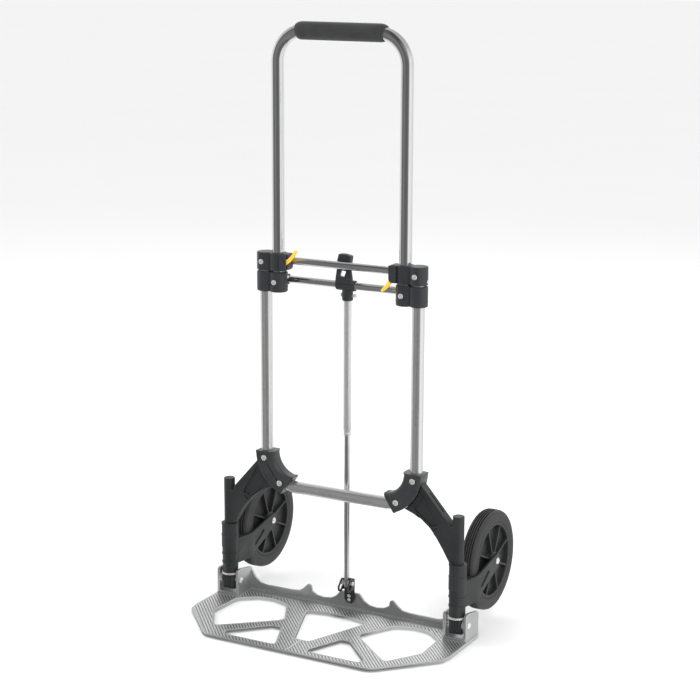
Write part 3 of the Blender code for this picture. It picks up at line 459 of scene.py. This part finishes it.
CHROME, SATIN = (0.76, 0.76, 0.765), (0.76, 0.76, 0.755)
MATERIALS = {
    "leg_chrome": plated("leg_chrome", CHROME, (0.05, 0.13), "Z", wobble=0.10),
    "bar_chrome": plated("bar_chrome", CHROME, (0.08, 0.20), "X", wobble=0.35),
    "frame_plate": plated("frame_plate", SATIN, (0.15, 0.28), "Z", 0.16, 0.2, metallic=0.9),
    "centre_plate": plated("centre_plate", SATIN, (0.26, 0.40), "Z", 0.08, metallic=0.78),
    "rod_plate": plated("rod_plate", CHROME, (0.14, 0.26), "Z", wobble=0.06),
    "screw_plate": plated("screw_plate", (0.86, 0.85, 0.82), (0.18, 0.34), "Y", 0.1, metallic=0.7),
    "gear_plate": plated("gear_plate", (0.78, 0.77, 0.74), (0.25, 0.42), "Z", metallic=0.7),
    "block_plastic": moulded("block_plastic", (0.020, 0.023, 0.026), (0.34, 0.48)),
    "bracket_plastic": moulded("bracket_plastic", (0.028, 0.029, 0.030), (0.24, 0.36)),
    "arm_plastic": moulded("arm_plastic", (0.017, 0.018, 0.019), (0.42, 0.58)),
    "rim_plastic": moulded("rim_plastic", (0.019, 0.020, 0.020), (0.45, 0.62)),
    "latch_plastic": moulded("latch_plastic", (0.018, 0.019, 0.021), (0.40, 0.55), grain=0.2),
    "yellow_plastic": moulded("yellow_plastic", (0.90, 0.52, 0.035), (0.34, 0.46), 0.06, 0.06, 0.05),
    "bracket_paint": moulded("bracket_paint", (0.016, 0.017, 0.018), (0.28, 0.42), grain=0.05),
    "grip_foam": foam("grip_foam", (0.020, 0.0205, 0.021)),
    "toe_metal": cast_aluminium("toe_metal", (0.40, 0.402, 0.405)),
    # Darker copy of the plate metal for the floor between the ribs: painted shade.
    "toe_groove_painted_shade": cast_aluminium("toe_groove_painted_shade", (0.20, 0.202, 0.205)),
    # Lighter copy of the plate metal for the ribs and the seam: painted highlight.
    "toe_rib_painted_highlight": cast_aluminium("toe_rib_painted_highlight", (0.46, 0.462, 0.465)),
    "tyre_rubber": rubber("tyre_rubber", (0.026, 0.026, 0.026)),
}


# ---------------------------------------------------------------- tubes and bars

FRAME_LOW, FRAME_HIGH, _ = span("frame_tube")
HANDLE_LOW, HANDLE_HIGH, _ = span("handle_tube")
TUBE_R = FRAME_HIGH.y
FRAME_HALF, HANDLE_HALF = FRAME_HIGH.x - TUBE_R, HANDLE_HIGH.x - TUBE_R
FRAME_BAR_Z, HANDLE_TOP = FRAME_LOW.z + TUBE_R, HANDLE_HIGH.z - TUBE_R


def frame_tube():
    path = u_path(FRAME_HALF, FRAME_HIGH.z, FRAME_BAR_Z, FRAME_BEND)
    tube = sweep(path, [TUBE_R] * len(path), TUBE_R - TUBE_WALL)
    stand_for(soften(tube, 0), "frame_tube", MATERIALS["frame_plate"])


def handle_tube():
    path = u_path(HANDLE_HALF, HANDLE_LOW.z, HANDLE_TOP, HANDLE_BEND)
    tube = sweep(path, [TUBE_R] * len(path), TUBE_R - TUBE_WALL)
    stand_for(soften(tube, 0), "handle_tube", MATERIALS["leg_chrome"])


def grip():
    """The foam sleeve, with rounded ends that run a little into the bends."""
    _, high, _ = span("grip")
    radius = high.z - HANDLE_TOP
    tube = u_path(HANDLE_HALF, HANDLE_LOW.z, HANDLE_TOP, HANDLE_BEND)
    path = [p for p in tube if abs(p[0]) <= GRIP_HALF]
    middle = [(path[len(path) // 2 - 1][0] * (1 - i / 15), HANDLE_TOP) for i in range(1, 30)]
    half = len(path) // 2
    path = path[:half] + middle + path[half:]
    radii = [radius] * len(path)
    for i, drop in enumerate((2.0, 0.7, 0.15)):
        radii[i] = radii[-1 - i] = radius - drop
    sleeve = sweep(path, radii, TUBE_R + GAP, 64)
    stand_for(soften(sleeve, 0, angle=50.0), "grip", MATERIALS["grip_foam"])


def plain_bar(node, material, axis="X", edge=0.8):
    """A round bar with rounded rims where the CAD bar lies."""
    low, high, middle = span(node)
    index = "XYZ".index(axis)
    across = (index + 1) % 3
    radius = (high[across] - low[across]) / 2
    centre = [0 if i == index else middle[i] for i in range(3)]
    profile = []
    for side in (-1, 1):
        end = (low if side < 0 else high)[index]
        corner = [(radius - edge * (1 - math.sin(a)), end - side * edge * (1 - math.cos(a)))
                  for a in (0.0, math.pi / 6, math.pi / 3, math.pi / 2)]
        profile += corner if side < 0 else corner[::-1]
    stand_for(soften(turned(profile, centre, axis), 0), node, MATERIALS[material])


def centre_tube():
    """The tube under the hub, with the crimped collar at its lower end."""
    low, high, middle = span("centre_tube")
    r, z = high.x, low.z
    profile = [
        (r - 1.1, z), (r - 0.5, z + 0.4), (r - 0.2, z + 1.2), (r - 0.2, z + 3.6), (r - 0.6, z + 4.6),
        (r - 0.95, z + 5.4), (r - 0.95, z + 7.4), (r - 0.5, z + 8.6), (r, z + 10.0), (r, high.z),
        (r - 1.2, high.z), (r - 1.2, z + 12.0), (r - 1.6, z + 9.0), (r - 1.6, z),
    ]
    tube = turned(profile, (0, middle.y, 0), segments=48, ring=True)
    stand_for(soften(tube, 0, angle=40.0), "centre_tube", MATERIALS["centre_plate"])


# ---------------------------------------------------------------- screws, bolts and gears

def screw(node, drive, spin):
    """A domed head on a shank with a slot or a cross sunk into it, facing -Y."""
    low, high, middle = span(node)
    head_r = (high.x - low.x) / 2
    top, shank = low.y, high.y
    shoulder = top + head_r * 0.52
    profile = [(head_r * 0.40, shank), (head_r * 0.40, shoulder), (head_r * 0.96, shoulder)]
    for i in range(9):
        a = math.pi / 2 * i / 8
        profile.append((head_r * max(math.cos(a), 0.02) ** 0.8,
                        shoulder - 0.3 - (shoulder - top - 0.3) * math.sin(a)))
    head = turned(profile, (middle.x, 0, middle.z), "Y", 40)
    reach, half_w = (head_r * 1.3, head_r * 0.12) if drive == "slot" else (head_r * 0.6, head_r * 0.13)
    cutters = []
    for angle in ((spin,) if drive == "slot" else (spin, spin + 90)):
        c, s = math.cos(math.radians(angle)), math.sin(math.radians(angle))
        corners = [(-reach, -half_w), (reach, -half_w), (reach, half_w), (-reach, half_w)]
        spun = [(middle.x + u * c - v * s, middle.z + u * s + v * c) for u, v in corners]
        cutters.append(prism(spun, top - 2, top + (shoulder - top) * 0.55, "Y"))
    stand_for(soften(boolean(head, cutters, "DIFFERENCE"), 0.12, 1), node, MATERIALS["screw_plate"])


def bolt(node, shank_share):
    """A bolt along X with a domed head at each end."""
    low, high, middle = span(node)
    head = (high.z - low.z) / 2
    end = (high.x - low.x) / 2
    thick = head * 0.55
    dome = [(head * max(math.cos(a), 0.02), end - thick + thick * math.sin(a))
            for a in (0.0, 0.3, 0.6, 0.9, 1.2, 1.5)]
    right = [(head * shank_share, end - thick - 0.4), (head, end - thick - 0.4)] + dome
    profile = [(r, -x) for r, x in right[::-1]] + right
    made = turned(profile, tuple(middle), "X", 40)
    stand_for(soften(made, 0.15, 1), node, MATERIALS["screw_plate"])


def crown_gear(node):
    """A thin toothed ring under the wheel bracket's sleeve."""
    low, high, middle = span(node)
    outer = (high.x - low.x) / 2
    teeth, outline = 30, []
    for i in range(teeth):
        a = 360 * i / teeth
        for radius, start, end in ((outer, -3.0, 3.0), (outer - 1.1, 5.0, 7.0)):
            outline += arc((middle.x, middle.y), radius, a + start, a + end, 2)
    hole = turned([(10.6, low.z - 2), (10.6, high.z + 2)], (middle.x, middle.y, 0))
    ring = boolean(prism(outline, low.z, high.z), [hole], "DIFFERENCE")
    stand_for(soften(ring, 0.1, 1), node, MATERIALS["gear_plate"])


# ---------------------------------------------------------------- wheels

def tyre(node):
    """Solid tyre: rounded shoulders, V grooves round the tread and a raised line on each wall."""
    low, high, middle = span(node)
    top, half = (high.z - low.z) / 2, (high.x - low.x) / 2
    inside = top - 20.5
    wall = [
        (inside, half - 1.2), (inside + 1.5, half - 0.5), (inside + 4.0, half - 0.5),
        (inside + 4.5, half - 0.05), (inside + 5.7, half - 0.05), (inside + 6.2, half - 0.6),
        (top - 9.0, half - 0.3), (top - 6.0, half - 0.7),
    ]
    shoulder = [(top - 6.0 + 5.0 * math.sin(a), half - 4.5 + 3.8 * math.cos(a)) for a in (0.4, 0.8, 1.2)]
    tread = []
    span_x = 2 * (half - 5.5)
    for i in range(TREAD_GROOVES):
        x = half - 5.5 - span_x * (i + 0.5) / TREAD_GROOVES
        crown = top - 0.15 - 0.8 * (x / half) ** 2
        tread += [(crown, x + 1.75), (crown - 0.4, x + 1.4), (crown - 3.6, x + 1.1),
                  (crown - 3.6, x - 1.1), (crown - 0.4, x - 1.4), (crown, x - 1.75)]
        if i + 1 < TREAD_GROOVES:
            middle_x = x - span_x / TREAD_GROOVES / 2
            tread.append((top - 0.8 * (middle_x / half) ** 2, middle_x))
    other = [(r, -x) for r, x in (wall + shoulder)[::-1]]
    profile = wall + shoulder + tread + other
    made = turned(profile, tuple(middle), "X", 144, ring=True)
    stand_for(soften(made, 0, angle=32.0), node, MATERIALS["tyre_rubber"])


def rim(node):
    """Moulded wheel centre: hub, recessed web and thin ribs out to the band under the tyre."""
    low, high, middle = span(node)
    band, hub = (high.z - low.z) / 2, (high.x - low.x) / 2
    half, inner = hub - 1.4, 4.3
    right = [
        (inner, hub), (11.8, hub), (12.5, hub - 0.7), (13.2, half - 1.0), (14.5, half - 1.6),
        (band - 5.2, half - 1.6), (band - 4.4, half - 0.9), (band - 0.9, half - 0.9), (band, half - 1.8),
    ]
    disc = turned([(r, -x) for r, x in right] + right[::-1], tuple(middle), "X", 96, ring=True)
    pockets = []
    pitch, rib = 360 / RIB_COUNT, 1.5
    centre = (middle.y, middle.z)
    for i in range(RIB_COUNT):
        angle = pitch * (i + 0.5) + 20
        low_r, high_r = 15.0, band - 5.6
        low_a, high_a = (pitch / 2 - math.degrees(rib / r) for r in (low_r, high_r))
        shape = arc(centre, low_r, angle + low_a, angle - low_a, 3)
        shape += arc(centre, high_r, angle - high_a, angle + high_a, 12)
        for side in (-1, 1):
            ends = sorted((middle.x + side * 4.6, middle.x + side * 40))
            pockets.append(prism(shape, *ends, "X"))
    made = boolean(disc, [together(pockets)], "DIFFERENCE")
    stand_for(soften(made, 0.5, 3), node, MATERIALS["rim_plastic"])


# ---------------------------------------------------------------- toe plate

def plate_windows(side, depth):
    """The five windows. Each point below is a share of the half width and of the depth."""
    middle = [(-0.055, -0.70), (0.055, -0.70), (0.245, -0.06), (0.10, -0.02), (-0.10, -0.02), (-0.245, -0.06)]
    sliver = [(0.115, -0.905), (0.515, -0.905), (0.535, -0.845), (0.305, -0.535), (0.235, -0.535)]
    wide = [(0.66, -0.78), (0.815, -0.46), (0.80, -0.10), (0.68, 0.03), (0.56, 0.05), (0.43, -0.005),
            (0.30, -0.33), (0.325, -0.40)]
    shapes = [([(x * side, y * depth) for x, y in middle], [7, 7, 6, 30, 30, 6])]
    for outline, radii in ((sliver, [6, 4, 4, 7, 7]), (wide, [7, 12, 16, 30, 30, 16, 5, 7])):
        for way in (1, -1):
            shapes.append(([(x * side * way, y * depth) for x, y in outline], radii))
    return [filleted(points, radii) for points, radii in shapes]


def plate_outline(side, depth, back):
    nose = side * 0.635
    half = [(nose, -depth), (side - 3, 94 - depth), (side, 118 - depth), (side, back)]
    corners = half + [(-x, y) for x, y in half[::-1]]
    return filleted(corners, [26, 22, 30, 8, 8, 30, 22, 26])


def toe_plate():
    """The plate as it is, with fine diagonal ribs on its top and a rounded lip round each window. The floor
    between the ribs is a darker copy of the metal, as painted shade, and the ribs and seam a lighter copy, as
    painted highlight.
    """
    low, high, _ = span("toe_plate")
    side, depth, back, top = high.x, -low.y, high.y, PLATE_TOP
    stand_for(soften(copied("toe_plate"), 0.8, 3), "toe_plate", MATERIALS["toe_metal"])
    windows = plate_windows(side, depth)
    c, s = math.cos(math.radians(RIB_ANGLE)), math.sin(math.radians(RIB_ANGLE))
    ribs = []
    count = int((side + depth) / RIB_PITCH)
    for i in range(-count, count + 1):
        across = i * RIB_PITCH
        rings = []
        for half_w, z in ((RIB_WIDTH / 2, top - 0.4), (RIB_WIDTH / 2 - 0.45, top + RIB_HEIGHT)):
            near, far = across - half_w, across + half_w
            corners = [(-400, near), (400, near), (400, far), (-400, far)]
            rings.append([(u * c - v * s, u * s + v * c - depth / 2, z) for u, v in corners])
        ribs.append(loft(rings))
    field = prism(inset(plate_outline(side, depth, 24.0), 5.0), top - 0.2, top + 3)
    holes = together([prism(inset(w, -3.6), top - 5, top + 8) for w in windows])
    keep_off = []
    for way in (-1, 1):
        post = way * span("hinge_bolt_right")[2].x
        around = [(post - 25, -16), (post + 25, -16), (post + 25, 60), (post - 25, 60)]
        keep_off.append(prism(around, top - 5, top + 8))
    field = boolean(field, [holes, together(keep_off)], "DIFFERENCE")
    seam = [(-1.3, 4 - depth), (1.3, 4 - depth), (1.3, 62 - depth), (-1.3, 62 - depth)]
    whole = [(-side, -depth), (side, -depth), (side, back), (-side, back)]
    ground = boolean(prism(whole, top - 0.15, top + 0.05), [twin(field)], "INTERSECT")
    line = boolean(prism(seam, top - 0.15, top + RIB_HEIGHT + 0.15), [twin(field)], "INTERSECT")
    ribbed = boolean(together(ribs), [field], "INTERSECT")
    # Groove floor painted darker as shade; seam and ribs painted lighter as highlight.
    add_on(soften(ground, 0), "toe_plate_grooves_painted_shade", "toe", MATERIALS["toe_groove_painted_shade"])
    add_on(soften(line, 0), "toe_plate_seam_painted_highlight", "toe", MATERIALS["toe_rib_painted_highlight"])
    add_on(soften(ribbed, 0), "toe_plate_ribs_painted_highlight", "toe", MATERIALS["toe_rib_painted_highlight"])
    lips = []
    for window in windows:
        rings = [[(x, y, top + rise) for x, y in inset(window, -out)]
                 for out, rise in ((2.6, -0.3), (2.1, 0.55), (1.0, 0.55), (0.5, -0.3))]
        lips.append(loft(rings, around=True))
    add_on(soften(together(lips), 0, angle=60), "toe_plate_lips", "toe", MATERIALS["toe_metal"])


# ---------------------------------------------------------------- brackets, arms and small fittings

def polar(radius, angle):
    """A point on the right corner's bend, in front view."""
    return arc((FRAME_HALF - FRAME_BEND, FRAME_BAR_Z + FRAME_BEND), radius, angle, angle + 1, 1)[0]


def bracket_reach(grow=0.0):
    """Inner and outer radius of the corner bracket from the bend's centre, and its half depth."""
    return (FRAME_BEND - TUBE_R - BRACKET_IN - grow, FRAME_BEND + TUBE_R + BRACKET_OUT + grow,
            TUBE_R + BRACKET_DEEP + grow)


def bracket_ring(grow):
    """A full ring with the bracket's section, widely rounded on the inside of the bend."""
    low, high, half = bracket_reach(grow)
    outline = filleted([(low, -half), (high, -half), (high, half), (low, half)], [9, 1.6, 1.6, 9], 8)
    centre = (FRAME_HALF - FRAME_BEND, 0, FRAME_BAR_Z + FRAME_BEND)
    return turned(outline, centre, "Y", 128, ring=True)


def corner_bracket(side):
    """The moulded bracket, with a rounded inner curve, a raised rim and a lip at each end."""
    low, high, half = bracket_reach()
    body = boolean(copied("corner_bracket_right"), [bracket_ring(0.0)], "INTERSECT")
    pieces = [soften(body, 0.35)]
    for corners in (((low - 3, 3.4), (high + 4, 0.8), (high + 4, -1.2), (low - 3, 0.2)),
                    ((low - 3, -87), (high + 4, -70.6), (high + 4, -68.4), (low - 3, -83))):
        wedge = prism([polar(*corner) for corner in corners], -half - 5, half + 5, "Y")
        lip = boolean(bracket_ring(0.7), [wedge], "INTERSECT")
        legs = [turned([(TUBE_R + 0.15, FRAME_BAR_Z + 30), (TUBE_R + 0.15, FRAME_BAR_Z + 90)],
                       (FRAME_HALF, 0, 0), "Z"),
                turned([(TUBE_R + 0.15, 20), (TUBE_R + 0.15, 110)], (0, 0, FRAME_BAR_Z), "X")]
        pieces.append(boolean(lip, legs, "DIFFERENCE"))
    for face in (-half, half):
        line = [polar(high - 0.5, -70 + 70 * i / 20) for i in range(21)]
        line += [polar(high - 2.3, -70 * i / 20) for i in range(21)]
        pieces.append(prism(line, face - 0.5, face + 0.5, "Y"))
    made = []
    for piece in pieces:
        made.append(mirrored(piece) if side < 0 else piece)
    node = "corner_bracket" + ("_left" if side < 0 else "_right")
    stand_for(made[0], node, MATERIALS["bracket_plastic"])
    for index, piece in enumerate(made[1:]):
        add_on(soften(piece, 0.25, 2), f"{node}_trim_{index}", body_of(node),
               MATERIALS["bracket_plastic"])


def arm_borders(side):
    """The raised border round the sunk panel on both faces of an arm, and the pin in its front face."""
    post = span("hinge_bolt_right")[2].x
    top = FRAME_BAR_Z - 2  # of the post
    root = [polar(FRAME_BEND + TUBE_R + 13, -45 + 23 * i / 4) for i in range(5)]
    panel = root + [(post - 37, top - 14), (post - 34, top - 20), (post - 46, top - 24)]
    middle_x, middle_z = (sum(p[i] for p in panel) / len(panel) for i in (0, 1))
    grown = [(middle_x + (x - middle_x) * 1.12, middle_z + (z - middle_z) * 1.12) for x, z in panel]
    lines = []
    for way in (-1, 1):
        frame_line = prism(grown, *sorted(way * y for y in ARM_BORDER), "Y")
        lines.append(boolean(frame_line, [prism(panel, *sorted((way * 5, way * 12)), "Y")], "DIFFERENCE"))
    pin = turned([(0.9, -9.6), (1.3, -9.2), (1.3, -8.5)], (post - 37, 0, top - 24), "Y", 16)
    made = together(lines + [pin])
    node = "side_arm" + ("_left" if side < 0 else "_right")
    add_on(soften(mirrored(made) if side < 0 else made, 0.25), f"{node}_border",
           body_of(node), MATERIALS["arm_plastic"])


def block_details():
    """Moulding lines round the lower blocks, a cap on each lever's pivot and two small set screws."""
    low, high, _ = span("lower_block_right")
    lobe = -low.y
    pivot_height = span("upper_block_right")[1].z - LEVER_PIVOT_DOWN
    for node, way in (("lower_block_left", -1), ("lower_block_right", 1)):
        rings = []
        for x in (HANDLE_HALF * way, FRAME_HALF * way):
            z = low.z + 9
            rings.append(turned([(lobe - 1, z - 0.3), (lobe + 0.12, z - 0.2), (lobe + 0.12, z + 0.2),
                                 (lobe - 1, z + 0.3)], (x, 0, 0), segments=96, ring=True))
        add_on(soften(together(rings), 0), node + "_line", body_of(node),
               MATERIALS["block_plastic"])
    for side in ("_left", "_right"):
        way = -1 if side == "_left" else 1
        x = way * (HANDLE_HALF - LEVER_PIVOT_IN)
        cap = turned([(2.15, -16.4), (2.15, -17.1), (1.6, -17.5)], (x, 0, pivot_height), "Y", 24)
        add_on(soften(cap, 0.1, 1), "pivot_cap" + side, body_of("upper_block_right"),
               MATERIALS["block_plastic"])
    screws = (("upper_block_right", FRAME_HALF + lobe, 0.5, span("upper_block_right")[0].z + 6),
              ("lower_block_left", -HANDLE_HALF + lobe, 4.0, high.z - 9))
    for node, x, y, z in screws:
        head = turned([(1.2, x - 2.0), (2.6, x - 0.6), (2.5, x + 0.5), (1.7, x + 1.2), (0.6, x + 1.5)],
                      (0, y, z), "X", 24)
        slit = prism([(y - 4, z - 0.3), (y + 4, z - 0.3), (y + 4, z + 0.3), (y - 4, z + 0.3)],
                     x + 0.7, x + 3, "X")
        add_on(soften(boolean(head, [slit], "DIFFERENCE"), 0.1, 1), node + "_set_screw", body_of(node),
               MATERIALS["screw_plate"])


def hub_bolt_thread():
    """The thread that stands out at the hub bolt's right end."""
    _, high, middle = span("hub_bolt")
    threads = []
    for i in range(5):
        x = high.x - 3.2 + i * 0.8
        threads += [(1.9, x - 0.4), (2.3, x)]
    threads.append((1.9, high.x + 0.2))
    piece = turned([(1.9, high.x - 4)] + threads, tuple(middle), "X", 24)
    add_on(soften(piece, 0), "hub_bolt_thread", body_of("hub_bolt"),
           MATERIALS["screw_plate"])


# ---------------------------------------------------------------- stage, light and camera

def emission_by_direction():
    """What shiny surfaces see: light walls with a dark gap round the camera, as in a small studio."""
    made = bpy.data.materials.new("studio_walls")
    made.use_nodes = True
    tree = made.node_tree
    tree.nodes.clear()
    place = tree.nodes.new("ShaderNodeTexCoord")
    parts = tree.nodes.new("ShaderNodeSeparateXYZ")
    tree.links.new(place.outputs["Object"], parts.inputs["Vector"])
    turn = tree.nodes.new("ShaderNodeMath")
    turn.operation = "ARCTAN2"
    tree.links.new(parts.outputs["Y"], turn.inputs[0])
    tree.links.new(parts.outputs["X"], turn.inputs[1])
    ramp = tree.nodes.new("ShaderNodeValToRGB")
    tree.links.new(remap(tree, turn.outputs[0], -math.pi, math.pi, 0.0, 1.0), ramp.inputs["Fac"])
    stops = ramp.color_ramp.elements
    for position, _ in WALL_LEVELS[2:]:
        stops.new(position)
    for stop, (position, level) in zip(stops, WALL_LEVELS):
        stop.position = position
        stop.color = (level, level, level, 1.0)
    height = remap(tree, parts.outputs["Z"], 1.2, 2.4, 1.0, 0.55)
    glow = tree.nodes.new("ShaderNodeEmission")
    tree.links.new(ramp.outputs["Color"], glow.inputs["Color"])
    tree.links.new(height, glow.inputs["Strength"])
    out = tree.nodes.new("ShaderNodeOutputMaterial")
    tree.links.new(glow.outputs["Emission"], out.inputs["Surface"])
    return made


def wall_position(offset):
    """Where an azimuth offset from the camera, positive to its right, lies on the ramp from 0 to 1."""
    angle = math.radians(CAMERA_AZIMUTH - 90 + offset)
    return ((angle + math.pi) / (2 * math.pi)) % 1.0


WALL_LEVELS = sorted(
    (wall_position(offset), level) for offset, level in (
        (-178, 0.98), (-115, 0.88), (-98, 0.75), (-88, 0.17), (-60, 0.19), (-42, 0.24), (-22, 0.14),
        (8, 0.15), (28, 0.24), (42, 1.05), (70, 1.02), (108, 0.84), (125, 0.95), (160, 1.0),
    )
)


def studio():
    floor_bm = bmesh.new()
    bmesh.ops.create_grid(floor_bm, x_segments=24, y_segments=24, size=30.0)
    floor = new_object("floor", floor_bm)
    floor.location.z = -0.0004
    paint, tree, shader = new_material("floor_paint", (0.90, 0.90, 0.90), 0.0, 0.85)
    tone = blend_colours(tree, noise(tree, 1.5, 2.0), (0.89, 0.89, 0.89), (0.91, 0.91, 0.91))
    tree.links.new(tone, shader.inputs["Base Color"])
    shader.inputs["Specular IOR Level"].default_value = 0.1
    floor.data.materials.append(paint)
    walls = turned([(1, 2.0), (1700, 2.0), (1760, 60), (1760, 2500), (1, 2600)], (0, 0, 0), segments=96)
    walls.name = "studio_walls"
    walls.data.materials.append(emission_by_direction())
    for kind in ("camera", "diffuse", "shadow", "transmission", "volume_scatter"):
        setattr(walls, "visible_" + kind, False)
    bpy.context.scene.view_settings.view_transform = "Standard"
    world = bpy.data.worlds.new("studio")
    world.use_nodes = True
    bpy.context.scene.world = world
    sky = world.node_tree.nodes["Background"]
    sky.inputs["Color"].default_value = (1.0, 1.0, 1.0, 1.0)
    sky.inputs["Strength"].default_value = 1.0
    for name, place, size, power in (
        ("key", (1.9, -2.2, 2.6), 1.8, 42.0), ("fill", (-2.6, -1.4, 1.6), 1.8, 20.0),
        ("top_back", (-0.6, 2.2, 2.6), 1.6, 26.0),
    ):
        data = bpy.data.lights.new(name, "AREA")
        data.shape, data.size, data.energy = "DISK", size, power
        lamp = bpy.data.objects.new(name, data)
        lamp.location = place
        aim = Vector(CAMERA_TARGET) - Vector(place)
        lamp.rotation_euler = aim.to_track_quat("-Z", "Y").to_euler()
        bpy.context.scene.collection.objects.link(lamp)


def camera():
    data = bpy.data.cameras.new("camera")
    data.lens, data.sensor_width = CAMERA_LENS, 36.0
    data.clip_end = 100.0
    eye = bpy.data.objects.new("camera", data)
    a, e = math.radians(CAMERA_AZIMUTH), math.radians(CAMERA_ELEVATION)
    back = Vector((math.sin(a) * math.cos(e), -math.cos(a) * math.cos(e), math.sin(e)))
    eye.location = Vector(CAMERA_TARGET) + back * CAMERA_DISTANCE
    aim = (-back).to_track_quat("-Z", "Y")
    eye.rotation_mode = "QUATERNION"
    eye.rotation_quaternion = aim @ Matrix.Rotation(math.radians(CAMERA_ROLL), 4, "Z").to_quaternion()
    bpy.context.scene.collection.objects.link(eye)
    bpy.context.scene.camera = eye


# ---------------------------------------------------------------- everything

ROUNDED = {  # CAD nodes whose shape is kept: material, edge radius
    "upper_block": ("block_plastic", 0.45), "lower_block": ("block_plastic", 0.45),
    "side_arm": ("arm_plastic", 0.5),
    "wheel_bracket": ("arm_plastic", 0.4), "lever": ("yellow_plastic", 0.4),
    "latch": ("latch_plastic", 0.4), "centre_hub": ("latch_plastic", 0.5),
    "toe_bracket": ("bracket_paint", 0.3),
}


def kept_shapes():
    for node in frame["nodes"]:
        base = node.removesuffix("_left").removesuffix("_right")
        if base in ROUNDED:
            material, width = ROUNDED[base]
            stand_for(soften(copied(node), width), node, MATERIALS[material])


def both(build, node, *more):
    for side in ("_left", "_right"):
        build(node + side, *more)


def main():
    frame_tube()
    handle_tube()
    grip()
    plain_bar("upper_crossbar", "bar_chrome")
    plain_bar("lower_crossbar", "bar_chrome")
    centre_tube()
    plain_bar("centre_rod", "rod_plate", "Z")
    kept_shapes()
    for side in (-1, 1):
        corner_bracket(side)
        arm_borders(side)
    block_details()
    hub_bolt_thread()
    toe_plate()
    both(screw, "upper_block_screw", "slot", 35)
    both(screw, "lower_block_screw", "slot", -55)
    both(screw, "bracket_screw_upper", "cross", 20)
    both(screw, "bracket_screw_lower", "cross", 40)
    screw("fence_screw_lower", "cross", 20)
    screw("fence_screw_upper", "cross", 55)
    both(bolt, "hinge_bolt", 0.65)
    both(bolt, "axle_bolt", 0.65)
    bolt("rod_pin", 0.6)
    bolt("hub_bolt", 0.5)
    both(crown_gear, "crown_gear")
    both(tyre, "tyre")
    both(rim, "wheel_rim")
    studio()
    camera()


main()
